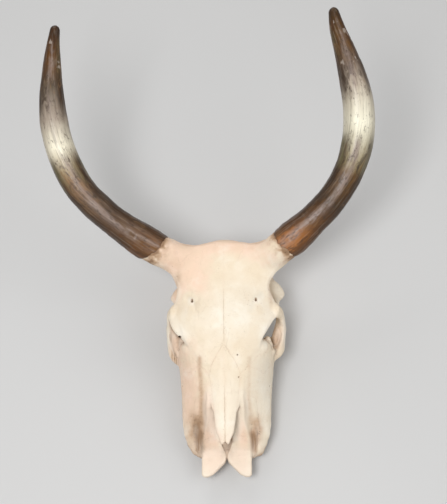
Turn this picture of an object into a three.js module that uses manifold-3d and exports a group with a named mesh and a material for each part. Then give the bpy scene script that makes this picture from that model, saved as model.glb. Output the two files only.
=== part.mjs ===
// Skull of a long-horned cow without its lower jaw, lying on its cheek teeth and the two
// processes beside the condyles. Millimetres; the muzzle points to -Y, the animal's left is +X.
import * as THREE from "three";
import Module from "manifold-3d";

const wasm = await Module();
wasm.setup();
const { Manifold, Mesh } = wasm;

// ---- Driving dimensions. x is the distance from the midline, s the distance behind the tip
// of the muzzle, z the height over the plane of the chewing surfaces.
const SUTURE_GAP = 0.4;
const REST_PITCH = 4.1; // degrees, nose up, once the skull lies on teeth and processes
const FLOOR_TRIM = 0.8;
const TOOTH_LENGTHS = [17, 18, 18, 23, 27, 28];
const TOOTH_ROW_START = 56;
const CROWN_FLOOR = 0;
const BONE_COLOUR = 0xe6dcc8;
const HORN_COLOUR = 0x8d7252;
const RING_POINTS = 12;
const EDGE_TOLERANCE = 0.4; // shorter edges that a cut leaves are merged away

// Midline of the roof from the nasal tips to the poll: s, z.
const ROOF = [
  [40, 83], [54, 87], [100, 102], [150, 118], [200, 134], [222, 142],
  [260, 157], [300, 169], [340, 177], [380, 183], [410, 186.5], [432, 187],
];

// Half sections of the face: s, roof z, shoulder x z, flank x z, crest x z,
// outer gum x z, inner gum x z, palate z.
const FACE = [
  [40, 80, 14, 76, 34, 50, 50, 26, 52, 14, 42, 11, 24],
  [50, 85, 15, 82, 42, 52, 63, 27, 63, 13, 46, 9, 25],
  [60, 89, 17, 85, 46, 55, 71, 30, 69, 13, 49, 9, 26],
  [78, 95, 20, 91, 50, 62, 80, 35, 74, 14, 51, 10, 28],
  [95, 100, 22, 96, 53, 70, 84, 39, 76, 16, 52, 12, 30],
  [120, 108, 25, 104, 55, 82, 86, 45, 77, 18, 53, 13, 33],
  [146, 117, 28, 112, 58, 92, 87, 52, 78, 20, 54, 14, 36],
  [180, 128, 33, 123, 66, 104, 90, 60, 79, 22, 55, 16, 38],
  [205, 136, 44, 130, 74, 113, 93, 66, 76, 30, 53, 22, 40],
  [224, 142, 54, 134, 82, 120, 95, 72, 68, 42, 46, 34, 44],
  [240, 148, 56, 138, 80, 118, 96, 76, 60, 50, 38, 42, 50],
  [262, 156, 50, 140, 58, 110, 74, 78, 46, 54, 26, 50, 54],
  [300, 167, 40, 150, 48, 110, 44, 80, 34, 58, 18, 54, 56],
];

// Side edge of the forehead: s, x, z.
const FOREHEAD_EDGE = [
  [190, 38, 123], [206, 52, 128], [222, 66, 132], [241, 76, 139], [262, 87, 141],
  [280, 98, 137], [294, 107, 129], [304, 108, 127], [314, 100, 138], [325, 92, 152],
  [337, 88.5, 161], [348, 90, 163], [358, 95, 164], [369, 103, 166], [380, 112, 168],
  [392, 118, 172], [404, 116, 175], [414, 103, 176], [421, 84, 175], [426, 62, 172],
  [431, 34, 168],
];

// Braincase and nape: s, half width, bottom z, top z.
const BRAINCASE = [
  [246, 26, 62, 120], [262, 40, 56, 140], [285, 52, 52, 156], [310, 58, 52, 163],
  [338, 62, 54, 170], [356, 68, 56, 172], [370, 82, 58, 172], [382, 94, 60, 170],
  [396, 94, 60, 172], [410, 86, 60, 174], [422, 72, 60, 170], [431, 54, 66, 158],
  [436, 34, 80, 140],
];

// Bars and processes as tubes: x, s, z, half thickness across, half thickness along.
const CHEEK_BAR = [
  [88, 226, 64, 8, 12], [98, 238, 69, 11, 14], [104.5, 250, 73, 10, 15],
  [106, 266, 77, 11, 14], [108.5, 284, 82, 9, 14], [105, 308, 86, 6, 9.5],
  [100, 332, 90, 6, 8], [96, 356, 92, 9, 10],
];
// The animal's right cheek reaches a little farther forward than its left one.
const CHEEK_CORNER_RIGHT = [
  [-88, 220, 64, 9, 11], [-101, 231, 67, 10, 13], [-106, 244, 72, 9, 14],
  [-109, 258, 76, 8, 14], [-111, 276, 81, 8, 13], [-112, 290, 86, 6, 10],
];
// Its brow stands out a little farther too.
const BROW_RIGHT = [
  [-70, 232, 134, 6, 5], [-87, 252, 135.5, 8, 5], [-97, 269, 134, 8, 5.5], [-104, 288, 129, 6, 6],
];
const ORBIT_POST = [
  [109, 284, 80, 8, 11], [111.5, 288, 94, 6.5, 9], [111, 294, 108, 6, 9],
  [107, 298, 120, 8, 11], [99, 299, 132, 10, 13],
];
const EAR_ROOT_LEFT = [
  [56, 372, 104, 26, 22], [80, 366, 102, 22, 18], [96, 359, 98, 19, 13], [107, 352, 94, 13, 8],
  [112.5, 350, 93, 5, 5],
];
const EAR_ROOT_RIGHT = [
  [-56, 370, 104, 24, 22], [-80, 362, 102, 19, 17], [-96, 354, 98, 13, 12],
  [-105, 349, 95, 8, 8], [-109, 348, 94, 4.5, 5],
];
const JUGULAR_PROCESS = [
  [72, 393, 104, 18, 14], [68, 399, 72, 13, 12], [61, 408, 44, 8, 13], [57, 413, 28, 6, 10],
  [55, 415, 18, 5, 7],
];
const NOSE_STRIP = [
  [45, 24, 27, 4, 5], [45.5, 46, 36, 3.5, 6], [41.5, 64, 46, 3.5, 7], [35.5, 82, 58, 3, 7.5],
  [30.5, 104, 74, 3, 8], [28.5, 124, 87, 3, 7], [29, 140, 96, 2.5, 4],
];
const UPPER_SCROLL = [
  [16, 68, 57, 6, 7], [19, 92, 67, 8, 10], [20, 128, 86, 8, 10], [18, 160, 92, 7, 8],
];
const LOWER_SCROLL = [[25, 76, 40, 7, 7], [25, 102, 48, 9, 9], [22, 150, 62, 9, 9]];
// Front end of each gum, round the root of the first tooth: centre, half lengths.
const GUM_LOBES = [
  [[62.5, 58, 20], [9, 12.5, 15]],
  [[-60.5, 60, 20], [9, 11.5, 15]],
];

const POLL_RIDGE = [
  [-80, 402, 163, 22, 20], [-60, 399, 161, 18, 16], [-42, 401, 163, 19, 17],
  [-24, 411, 167, 21, 18], [0, 416, 168, 22, 19], [24, 412, 167, 21, 18],
  [42, 407, 165, 20, 18], [60, 402, 163, 19, 17], [80, 402, 163, 22, 20],
];
const SKULL_BASE = [
  [0, 236, 58, 14, 12], [0, 300, 57, 17, 12], [0, 350, 54, 22, 12], [0, 388, 51, 27, 11],
  [0, 416, 56, 28, 13], [0, 430, 58, 22, 10],
];

// Horns from the horn core's root to the tip: x, s, z, radius. The horns are not a pair of
// mirror images: the animal's left one starts nearer the poll and curls in at the tip.
const HORN_RIGHT = [
  [-76, 402, 163, 25], [-104, 405, 174, 29.5], [-134, 413, 187, 33.5], [-160, 424, 202, 33.5],
  [-192, 439, 222, 31], [-231, 461, 249, 29.5], [-272, 493, 284, 30], [-299, 535, 320, 30],
  [-315, 582, 356, 28.5], [-320, 634, 390, 24.5], [-318, 687, 421, 19], [-315, 724, 441, 14],
  [-310, 758, 458, 10],
];
const HORN_LEFT = [
  [72, 402, 163, 25], [96, 405, 174, 29.5], [121, 415, 189, 33.5], [144, 428, 202, 33.5],
  [172, 446, 219, 31], [212, 477, 246, 29.5], [245, 517, 279, 29], [264, 563, 314, 31],
  [268, 613, 350, 30.5], [258, 663, 384, 27.5], [242, 713, 415, 21], [230, 748, 434, 16],
  [223, 782, 452, 10],
];
const SHEATH_FROM = 2; // the row of a horn table where the sheath starts

// ---- Curves and solids

// Values of a table at t, by a cubic curve through its rows; the first column is t itself.
function along(table, t) {
  const last = table.length - 1;
  let i = 0;
  while (i < last - 1 && t > table[i + 1][0]) i++;
  const [a, b] = [table[i], table[i + 1]];
  const span = b[0] - a[0];
  const u = Math.min(1, Math.max(0, (t - a[0]) / span));
  const before = table[Math.max(0, i - 1)];
  const after = table[Math.min(last, i + 2)];
  return a.slice(1).map((_, k) => {
    const c = k + 1;
    const slopeA = ((b[c] - before[c]) / (b[0] - before[0])) * span;
    const slopeB = ((after[c] - a[c]) / (after[0] - a[0])) * span;
    const u2 = u * u;
    const u3 = u2 * u;
    return (
      (2 * u3 - 3 * u2 + 1) * a[c] + (u3 - 2 * u2 + u) * slopeA +
      (3 * u2 - 2 * u3) * b[c] + (u3 - u2) * slopeB
    );
  });
}

// A table of points with a parameter in front: the length walked so far.
function withLength(rows) {
  let length = 0;
  return rows.map((row, i) => {
    if (i) {
      const p = rows[i - 1];
      length += Math.hypot(row[0] - p[0], row[1] - p[1], row[2] - p[2]);
    }
    return [length, ...row];
  });
}

// Corner numbers of the triangles that close a ring of points.
function capOf(ring) {
  const normal = new THREE.Vector3();
  ring.forEach((p, i) => {
    const q = ring[(i + 1) % ring.length];
    normal.x += (p[1] - q[1]) * (p[2] + q[2]);
    normal.y += (p[2] - q[2]) * (p[0] + q[0]);
    normal.z += (p[0] - q[0]) * (p[1] + q[1]);
  });
  normal.normalize();
  const side = Math.abs(normal.z) > 0.8 ? new THREE.Vector3(1, 0, 0) : new THREE.Vector3(0, 0, 1);
  const e1 = new THREE.Vector3().crossVectors(side, normal).normalize();
  const e2 = new THREE.Vector3().crossVectors(normal, e1);
  const flat = ring.map((p) => {
    const v = new THREE.Vector3(...p);
    return new THREE.Vector2(v.dot(e1), v.dot(e2));
  });
  const faces = THREE.ShapeUtils.triangulateShape(flat, []);
  if (faces.length !== ring.length - 2) throw new Error("a cap is not closed");
  const up = THREE.ShapeUtils.area(flat) > 0;
  return faces.map((f) => (up ? f : [f[0], f[2], f[1]]));
}

// A closed solid through rings of equal numbers of points.
function loft(rings) {
  const n = rings[0].length;
  const faces = [];
  for (let i = 0; i + 1 < rings.length; i++) {
    for (let j = 0; j < n; j++) {
      const a = i * n + j;
      const b = i * n + ((j + 1) % n);
      faces.push([a, b, b + n], [a, b + n, a + n]);
    }
  }
  // A cap turns the way its ring runs; the walls above run the other way at the first ring.
  capOf(rings[0]).forEach((f) => faces.push([f[2], f[1], f[0]]));
  const top = (rings.length - 1) * n;
  capOf(rings[rings.length - 1]).forEach((f) => faces.push(f.map((k) => k + top)));
  const points = rings.flat();
  let volume = 0;
  faces.forEach(([a, b, c]) => {
    const [p, q, r] = [points[a], points[b], points[c]];
    volume +=
      p[0] * (q[1] * r[2] - q[2] * r[1]) - p[1] * (q[0] * r[2] - q[2] * r[0]) +
      p[2] * (q[0] * r[1] - q[1] * r[0]);
  });
  const turned = volume < 0 ? faces.map(([a, b, c]) => [a, c, b]) : faces;
  return new Manifold(
    new Mesh({
      numProp: 3,
      vertProperties: new Float32Array(points.flat()),
      triVerts: new Uint32Array(turned.flat()),
      tolerance: EDGE_TOLERANCE,
    }),
  );
}

// Numbers from a to b in n steps.
function steps(a, b, n) {
  return Array.from({ length: n + 1 }, (_, i) => a + ((b - a) * i) / n);
}

// A tube along a table of centres with two half thicknesses; `across` is the direction the
// first of them lies in. The ends are rounded off by `bulge` of their thickness.
function tube(rows, across, sides = 14, pieces = 14, bulge = 0.5) {
  const table = withLength(rows);
  const length = table[table.length - 1][0];
  const round = rows[0].length > 4;
  const rings = [];
  const ring = (t, shift, scale) => {
    const here = along(table, t);
    const ahead = along(table, Math.min(length, t + 0.5));
    const behind = along(table, Math.max(0, t - 0.5));
    const dir = new THREE.Vector3(
      ahead[0] - behind[0], ahead[1] - behind[1], ahead[2] - behind[2],
    ).normalize();
    const e1 = new THREE.Vector3(...across).addScaledVector(dir, -dir.dot(
      new THREE.Vector3(...across),
    )).normalize();
    const e2 = new THREE.Vector3().crossVectors(dir, e1);
    const centre = new THREE.Vector3(here[0], here[1], here[2]).addScaledVector(dir, shift);
    const [r1, r2] = [here[3], round ? here[4] : here[3]];
    rings.push(
      steps(0, 2 * Math.PI, sides).slice(0, -1).map((angle) =>
        centre.clone()
          .addScaledVector(e1, r1 * scale * Math.cos(angle))
          .addScaledVector(e2, r2 * scale * Math.sin(angle))
          .toArray(),
      ),
    );
  };
  const first = along(table, 0);
  const last = along(table, length);
  ring(0, -bulge * first[3], 0.45);
  ring(0, -bulge * 0.6 * first[3], 0.8);
  steps(0, length, pieces).forEach((t) => ring(t, 0, 1));
  ring(length, bulge * 0.6 * last[3], 0.8);
  ring(length, bulge * last[3], 0.45);
  return loft(rings);
}

// A ball with three half lengths, the first along the direction `axis`.
function ball(centre, sizes, axis = [1, 0, 0], level = 5) {
  const e1 = new THREE.Vector3(...axis).normalize();
  const e3 = new THREE.Vector3(0, 0, 1).addScaledVector(e1, -e1.z).normalize();
  const e2 = new THREE.Vector3().crossVectors(e3, e1);
  const rings = steps(0.12, Math.PI - 0.12, level).map((a) =>
    steps(0, 2 * Math.PI, level + 4).slice(0, -1).map((b) =>
      new THREE.Vector3(...centre)
        .addScaledVector(e1, sizes[0] * Math.cos(a))
        .addScaledVector(e2, sizes[1] * Math.sin(a) * Math.cos(b))
        .addScaledVector(e3, sizes[2] * Math.sin(a) * Math.sin(b))
        .toArray(),
    ),
  );
  return loft(rings);
}

// A prism over a polygon. `place` puts a corner (a, b) at the distance c along its axis.
const FROM_SIDE = (a, b, c) => [c, a, b];
const FROM_TOP = (a, b, c) => [a, b, c];
function prism(polygon, from, to, place) {
  return loft([from, to].map((c) => polygon.map(([a, b]) => place(a, b, c))));
}

// A polygon moved outwards by `by`: every corner along the mean of its two edges' normals.
function grown(polygon, by) {
  const sign = Math.sign(
    THREE.ShapeUtils.area(polygon.map(([x, y]) => new THREE.Vector2(x, y))),
  );
  return polygon.map((p, i) => {
    const q = polygon[(i + 1) % polygon.length];
    const o = polygon[(i + polygon.length - 1) % polygon.length];
    const n1 = new THREE.Vector2(p[1] - o[1], o[0] - p[0]).normalize();
    const n2 = new THREE.Vector2(q[1] - p[1], p[0] - q[0]).normalize();
    const n = n1.clone().add(n2).normalize();
    const far = (sign * by) / Math.max(0.35, n.dot(n1));
    return [p[0] + n.x * far, p[1] + n.y * far];
  });
}

const mirrored = (shape) => shape.mirror([1, 0, 0]);
const both = (shape) => shape.add(mirrored(shape));
const joined = (shapes) => shapes.reduce((a, b) => a.add(b));

// ---- Shapes of the skull

function roofAt(s) {
  return along(ROOF, s)[0];
}

// A closed ring through a half section and its mirror image.
function mirroredRing(half, s) {
  const curve = new THREE.CatmullRomCurve3(
    half.map(([x, z]) => new THREE.Vector3(x, 0, z)), false, "centripetal",
  );
  const side = curve.getSpacedPoints(RING_POINTS / 2);
  const right = side.map((p) => [Math.max(0, p.x), s, p.z]);
  const left = right.slice(1, -1).reverse().map(([x, y, z]) => [-x, y, z]);
  return [...right, ...left];
}

function faceBlock() {
  const stations = steps(41, 300, 9);
  return loft(
    stations.map((s) => {
      const [top, sx, sz, fx, fz, cx, cz, ox, oz, ix, iz, pz] = along(FACE, s);
      return mirroredRing(
        [[0, top], [sx, sz], [fx, fz], [cx, cz], [ox, oz], [ix, iz], [ix * 0.72, pz - 3], [0, pz]],
        s,
      );
    }),
  );
}

function foreheadBlock() {
  const stations = [...steps(191, 410, 11), 421, 431];
  return loft(
    stations.map((s) => {
      // The front end starts a little under the face and the back end rounds over the poll.
      const top = roofAt(s) - 4 * Math.max(0, (214 - s) / 24) - 12 * Math.max(0, (s - 418) / 13) ** 2;
      const [ex, ez] = along(FOREHEAD_EDGE, s);
      const dropTo = (k) => top - (top - ez) * Math.pow(k, 2.4);
      return mirroredRing(
        [
          [0, top], [ex * 0.3, dropTo(0.3)], [ex * 0.6, dropTo(0.6)], [ex * 0.85, dropTo(0.85)],
          [ex, ez - 2], [ex - 3, ez - 9], [ex * 0.8, ez - 11], [ex * 0.6, top - 36],
          [0, top - 44],
        ],
        s,
      );
    }),
  );
}

function braincaseBlock() {
  const stations = steps(246, 436, 7);
  return loft(
    stations.map((s) => {
      const [w, low, high] = along(BRAINCASE, s);
      const mid = (low + high) / 2;
      const tall = (high - low) / 2;
      return steps(0, 2 * Math.PI, 10).slice(0, -1).map((a) => [
        w * Math.sign(Math.cos(a)) * Math.pow(Math.abs(Math.cos(a)), 0.85),
        s,
        mid + tall * Math.sign(Math.sin(a)) * Math.pow(Math.abs(Math.sin(a)), 0.85),
      ]);
    }),
  );
}

// Half width of the pair of nasal bones: narrow tips, widest in front of the forehead, then
// a point between the frontal bones.
const NASAL_WIDTH = [
  [41, 9], [48, 13], [60, 15], [80, 19], [110, 22.5], [140, 26], [168, 30], [178, 29],
  [196, 20], [212, 9], [223, 2],
];

function nasalTrough(grow, roofLift) {
  return loft(
    steps(30, 224 + grow, 8).map((s) => {
      const w = along(NASAL_WIDTH, Math.max(41, s))[0] + grow;
      const top = roofAt(Math.max(44, s));
      const bed = top - 9.5 - grow;
      return [
        [-w, s, top + roofLift], [-w, s, bed], [0, s, bed], [w, s, bed], [w, s, top + roofLift],
      ];
    }),
  );
}

function nasalPlates() {
  return loft(
    steps(44, 224, 8).map((s) => {
      const w = along(NASAL_WIDTH, s)[0] + (s > 110 ? 6 : -1.5);
      const top = roofAt(s);
      const edge = top - 0.012 * w * w;
      return [
        [-w, s, edge - 4], [-w, s, edge], [-w * 0.5, s, top - 0.003 * w * w], [0, s, top],
        [w * 0.5, s, top - 0.003 * w * w], [w, s, edge], [w, s, edge - 4],
        [w * 0.5, s, top - 6], [0, s, top - 6.5], [-w * 0.5, s, top - 6],
      ];
    }),
  );
}

// What is cut away in front of the two pointed tips of the nasal bones, on one side.
function nasalTipCut() {
  return prism(
    [[-0.5, 50], [5.8, 46], [9.5, 49], [12.8, 56], [30, 57], [30, 20], [-0.5, 20]],
    60, 110, FROM_TOP,
  );
}

function premaxillaBody() {
  const plan = [
    [0.1, 66], [0.1, 38], [3, 28], [14, 17], [25.5, 5.5], [36, 0.5], [44, 0.5], [48, 5],
    [48, 24], [48.5, 48], [50, 66],
  ];
  return loft(
    [0, 1].map((k) => plan.map(([x, s]) => [
      x, s, (k ? 31 : 20) + 0.06 * s + (k ? -0.1 : 0.03) * Math.max(0, 20 - s) - 0.06 * x * k,
    ])),
  );
}

function toothRow() {
  let start = TOOTH_ROW_START;
  return TOOTH_LENGTHS.map((length, i) => {
    const middle = start + length / 2;
    start += length;
    const x = 59 + 6 * Math.sin((Math.PI * (i + 0.6)) / 7.5);
    const half = length / 2 - 0.5;
    const wide = i < 3 ? 8 + i : 11.5;
    const square = (grow, z) => steps(0, 2 * Math.PI, 8).slice(0, -1).map((a) => {
      const [c, d] = [Math.cos(a), Math.sin(a)];
      return [
        x + (wide + grow) * Math.sign(c) * Math.pow(Math.abs(c), 0.6),
        middle + (half + grow * 0.3) * Math.sign(d) * Math.pow(Math.abs(d), 0.6),
        z,
      ];
    });
    return loft([square(-0.6, CROWN_FLOOR - 1), square(0, 26)]);
  });
}

// Everything that is bone, in one solid, before it is parted along the sutures.
function wholeSkull() {
  const aperture = prism(
    [[-30, 33], [40, 34], [58, 43], [78, 56], [98, 72], [128, 104], [134, 140], [-30, 140]],
    -120, 120, FROM_SIDE,
  );
  const cavity = loft(
    steps(20, 176, 7).map((s) => {
      const k = 1 - Math.max(0, (s - 130) / 60);
      const w = along(NASAL_WIDTH, Math.max(60, s))[0] * 1.25 * k + 4;
      const top = roofAt(Math.max(44, s)) - 6;
      const floor = 38 + 0.06 * s + 20 * (1 - k);
      const middle = (top + floor) / 2;
      const tall = ((top - floor) / 2) * (0.25 + 0.75 * k);
      return steps(0, 2 * Math.PI, 10).slice(0, -1).map((a) => [
        w * Math.sign(Math.cos(a)) * Math.pow(Math.abs(Math.cos(a)), 0.7),
        s,
        middle + tall * Math.sign(Math.sin(a)) * Math.pow(Math.abs(Math.sin(a)), 0.7),
      ]);
    }),
  );
  const orbit = ball([110, 263, 110], [62, 30, 25], [0.9, -0.3, 0.2]);
  const palateArch = ball([0, 120, 8], [24, 130, 20]);
  const choana = ball([0, 258, 42], [19, 48, 16]);
  const templeHollow = ball([92, 322, 112], [28, 46, 40], [1, 0.1, 0.1]);
  const orbitFloor = ball([86, 245, 72], [28, 25, 10], [1, 0.1, 0]);
  const orbitBowl = ball([97, 250, 99], [22, 11, 19], [0.3, 1, -0.1]);
  // The wedge-shaped recess between the two premaxillae.
  const cleft = loft([26, 60].map((z) => [
    [-0.4, 38.5, z], [0.4, 38.5, z], [9.5, 60, z], [9.5, 68, z], [-9.5, 68, z], [-9.5, 60, z],
  ]));

  const face = faceBlock().subtract(aperture).subtract(cavity).subtract(palateArch);
  const core = joined([
    face,
    braincaseBlock(),
    tube(SKULL_BASE, [1, 0, 0], 8, 5, 0.3),
  ]).subtract(both(orbit)).subtract(both(templeHollow)).subtract(choana);
  const forehead = foreheadBlock().subtract(both(orbit));
  const horncores = [HORN_LEFT, HORN_RIGHT].map((rows) =>
    tube(rows.slice(0, 4), [0, 0, 1], 12, 3, 0),
  );
  const brow = tube(BROW_RIGHT, [1, 0, 0], 8, 4, 0.4);
  const cheek = (bars) => joined([...bars, both(orbitFloor)]).subtract(both(orbitBowl));
  const sides = cheek([
    both(tube(CHEEK_BAR, [1, 0, 0], 8, 8, 0.25)),
    tube(CHEEK_CORNER_RIGHT, [1, 0, 0], 8, 5, 0.4),
  ]);
  const ears = joined([EAR_ROOT_LEFT, EAR_ROOT_RIGHT].map((rows) =>
    tube(rows, [0, 1, 0], 8, 4, 0.6),
  ));
  const details = both(joined([
    tube(ORBIT_POST, [1, 0, 0], 8, 4, 0.2),
    tube(JUGULAR_PROCESS, [1, 0, 0], 8, 4, 0.4),
    tube(NOSE_STRIP, [1, 0, 0], 6, 5, 0.2),
    tube(UPPER_SCROLL, [1, 0, 0], 6, 3, 0.3),
    tube(LOWER_SCROLL, [1, 0, 0], 6, 3, 0.3),
    ball([37, 370, 46], [12, 14, 19], [1, 0, 0], 5),
    ball([29, 426, 66], [21, 19, 27], [1, 0.25, 0], 5),
    premaxillaBody(),
    ...toothRow(),
  ])).subtract(cleft);
  // Floor of the nose behind the premaxillae.
  const noseFloor = ball([0, 92, 33], [24, 46, 7], [1, 0, 0], 5);
  const foramenMagnum = tube(
    [[0, 376, 92, 15, 15], [0, 412, 89, 17, 16], [0, 460, 86, 20, 19]], [1, 0, 0], 12, 3, 0,
  );
  const fissure = ball([12, 92, 18], [5, 20, 12], [1, 0, 0], 5);
  const nasals = nasalPlates().subtract(both(nasalTipCut()));
  const pollRidge = tube(POLL_RIDGE, [0, 1, 0], 10, 8, 0);
  const lobes = GUM_LOBES.map(([centre, sizes]) => ball(centre, sizes));
  return joined([core, forehead, ...horncores, details, sides, ears, brow, noseFloor, nasals,
    pollRidge, ...lobes])
    .subtract(foramenMagnum)
    .subtract(both(fissure));
}

// ---- Parting into the named bones

const SUTURES = {
  premaxilla: [
    [-40, -30], [43.5, -30], [43.5, 20], [50, 27], [57, 36], [76, 48], [103, 64], [138, 84],
    [138, 97], [112, 90], [96, 86], [80, 130], [-40, 130],
  ],
  frontalPlan: [
    [0, 150], [26, 168], [31, 172], [46, 188], [68, 210], [86, 220], [200, 226], [200, 470],
    [-200, 470], [-200, 226], [-86, 220], [-68, 210], [-46, 188], [-31, 172], [-26, 168],
  ],
  lacrimal: [[182, 96], [194, 150], [245, 150], [245, 104], [220, 100], [204, 84]],
  zygomatic: [
    [192, 66], [206, 83], [221, 99], [246, 103], [262, 119], [306, 119], [326, 110],
    [316, 60], [300, 30], [236, 30], [228, 48], [214, 57],
  ],
  temporal: [
    [300, 40], [300, 122], [322, 138], [376, 134], [381, 104], [376, 66], [352, 63], [340, 40],
  ],
};

// The frontal bone's lower limit: deep over the braincase, higher towards the sides.
function frontalRegion(gap) {
  const rings = [150, 200, 240, 280, 300, 320, 340, 380, 410, 440, 470].map((s) => {
    const middle = roofAt(Math.min(430, s)) - 34 - gap;
    const side = 117 - gap + 24 * Math.min(1, Math.max(0, (s - 320) / 20));
    return [
      [-260, s, 400], [-260, s, side], [-62, s, side], [-50, s, middle], [50, s, middle],
      [62, s, side], [260, s, side], [260, s, 400],
    ];
  });
  return loft(rings).intersect(
    prism(grown(SUTURES.frontalPlan, gap), -100, 420, FROM_TOP),
  );
}

function sideRegion(polygon, inner) {
  return (gap) => prism(grown(polygon, gap), inner - gap, 300, FROM_SIDE);
}

// The largest body of a solid: the shavings a cut leaves are not bones of their own.
function largest(shape) {
  return shape.decompose().sort((a, b) => b.volume() - a.volume())[0];
}

function partedBones() {
  let rest = wholeSkull();
  const half = SUTURE_GAP / 2;
  const bones = {};
  const take = (name, region, inPair) => {
    const taken = rest.intersect(region(-half));
    rest = rest.subtract(region(half));
    if (!inPair) {
      bones[name] = largest(taken);
      return;
    }
    for (const [side, word] of [[1, "left"], [-1, "right"]]) {
      const room = prism(
        [[side * half, -60], [side * 400, -60], [side * 400, 900], [side * half, 900]],
        -200, 700, FROM_TOP,
      );
      bones[name + "_" + word] = largest(taken.intersect(room));
    }
  };
  const paired = (region) => (gap) => both(region(gap));
  take("nasal", (gap) => nasalTrough(gap, 30), true);
  take("premaxilla", (gap) => prism(grown(SUTURES.premaxilla, gap), -300, 300, FROM_SIDE), true);
  take("frontal", frontalRegion, false);
  take("lacrimal", paired(sideRegion(SUTURES.lacrimal, 46)), true);
  take("zygomatic", paired(sideRegion(SUTURES.zygomatic, 60)), true);
  take("temporal", paired(sideRegion(SUTURES.temporal, 44)), true);
  take("maxilla", (gap) => prism(
    grown([[0, -50], [226, -50], [240, 160], [0, 160]], gap), -300, 300, FROM_SIDE,
  ), true);
  take("sphenoid", (gap) => prism(
    grown([[200, -50], [385, -50], [385, 200], [200, 200]], gap), -300, 300,
    FROM_SIDE,
  ), false);
  bones.occipital = largest(rest);
  return bones;
}

function hornSheaths() {
  const sheath = (rows) => tube(rows.slice(SHEATH_FROM), [0, 0, 1], 12, 13, 0);
  return { horn_left: sheath(HORN_LEFT), horn_right: sheath(HORN_RIGHT) };
}

// Bone in front of the sheath's root is cut away, so the two meet face to face.
function hornStop(rows, gap) {
  const [a, b] = [rows[SHEATH_FROM], rows[SHEATH_FROM + 1]];
  const dir = new THREE.Vector3(b[0] - a[0], b[1] - a[1], b[2] - a[2]).normalize();
  const start = new THREE.Vector3(a[0], a[1], a[2]).addScaledVector(dir, -gap);
  const e1 = new THREE.Vector3(0, 0, 1).addScaledVector(dir, -dir.z).normalize();
  const e2 = new THREE.Vector3().crossVectors(dir, e1);
  return loft([0, 120].map((far) => [[1, 1], [-1, 1], [-1, -1], [1, -1]].map(([p, q]) =>
    start.clone().addScaledVector(dir, far).addScaledVector(e1, 60 * p)
      .addScaledVector(e2, 60 * q).toArray(),
  )));
}

// ---- The object, turned into the way it lies and set on the floor

function build() {
  const bones = partedBones();
  for (const rows of [HORN_LEFT, HORN_RIGHT]) {
    bones.frontal = bones.frontal.subtract(hornStop(rows, SUTURE_GAP));
  }
  bones.frontal = largest(bones.frontal);
  const sheaths = hornSheaths();
  const all = Object.entries({ ...bones, ...sheaths }).map(([name, shape]) => [
    name, shape.rotate([-REST_PITCH, 0, 0]),
  ]);
  const lowest = (names) => Math.min(
    ...all.filter(([name]) => names.some((n) => name.startsWith(n)))
      .map(([, shape]) => shape.boundingBox().min[2]),
  );
  const teeth = lowest(["maxilla"]);
  const processes = lowest(["occipital"]);
  const floor = Math.max(teeth, processes) + FLOOR_TRIM;
  const under = prism(
    [[-900, -900], [900, -900], [900, 1800], [-900, 1800]], floor - 400, floor, FROM_TOP,
  );
  const group = new THREE.Group();
  const box = new THREE.Box3();
  for (const [name, shape] of all) {
    const mesh = meshOf(name, largest(shape.subtract(under)));
    box.expandByObject(mesh);
    group.add(mesh);
  }
  const middle = box.getCenter(new THREE.Vector3());
  const shift = new THREE.Vector3(-middle.x, -middle.y, -floor);
  group.children.forEach((mesh) => mesh.geometry.translate(shift.x, shift.y, shift.z));
  return group;
}

function meshOf(name, shape) {
  const data = shape.getMesh();
  const geometry = new THREE.BufferGeometry();
  const points = new Float32Array(data.numVert * 3);
  for (let i = 0; i < data.numVert; i++) {
    points.set(data.vertProperties.subarray(i * data.numProp, i * data.numProp + 3), i * 3);
  }
  geometry.setAttribute("position", new THREE.BufferAttribute(points, 3));
  geometry.setIndex(new THREE.BufferAttribute(new Uint32Array(data.triVerts), 1));
  const horn = name.startsWith("horn");
  const mesh = new THREE.Mesh(geometry, new THREE.MeshStandardMaterial({
    color: horn ? HORN_COLOUR : BONE_COLOUR, roughness: horn ? 0.45 : 0.75, metalness: 0,
  }));
  mesh.name = name;
  return mesh;
}

export default build();
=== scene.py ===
"""Dressed model of a long-horned cow's skull that lies on a pale floor.

The bones are one distance field on a regular grid, parted along the sutures and meshed with
surface nets. The horn sheaths and the teeth are surfaces over two parameters. Lengths in the
tables are millimetres in the skull's own frame: x from the midline to the animal's left, s from
the tip of the muzzle backwards, z up from the plane of the chewing surfaces.
"""

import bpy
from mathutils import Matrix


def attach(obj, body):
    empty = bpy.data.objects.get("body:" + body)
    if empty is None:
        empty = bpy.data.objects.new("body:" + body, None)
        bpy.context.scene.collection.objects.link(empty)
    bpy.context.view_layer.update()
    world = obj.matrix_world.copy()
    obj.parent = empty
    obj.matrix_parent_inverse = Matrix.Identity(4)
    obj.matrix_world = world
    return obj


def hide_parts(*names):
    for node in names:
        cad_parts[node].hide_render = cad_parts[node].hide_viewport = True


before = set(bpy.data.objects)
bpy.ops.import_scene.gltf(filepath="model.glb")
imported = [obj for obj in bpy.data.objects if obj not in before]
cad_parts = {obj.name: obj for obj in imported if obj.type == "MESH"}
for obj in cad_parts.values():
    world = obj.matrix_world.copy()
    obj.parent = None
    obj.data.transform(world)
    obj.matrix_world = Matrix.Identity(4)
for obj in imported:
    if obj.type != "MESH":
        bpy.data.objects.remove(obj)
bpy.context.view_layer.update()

import math

import bpy
import numpy as np
from mathutils import Matrix, Vector

bl_info = {
    "name": "Long-horned cow skull",
    "version": (1, 0, 0),
    "blender": (4, 5, 0),
    "location": "3D View > Sidebar > Skull",
    "description": "Builds the bones, teeth and horns of a cow's skull, and its stage",
    "category": "Add Mesh",
}

# ---------------------------------------------------------------- how the skull lies

REST_PITCH = math.radians(4.1)
LIE_SHIFT = np.array([23.26, -409.32, 13.44])

# ---------------------------------------------------------------- lines of the skull

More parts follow.
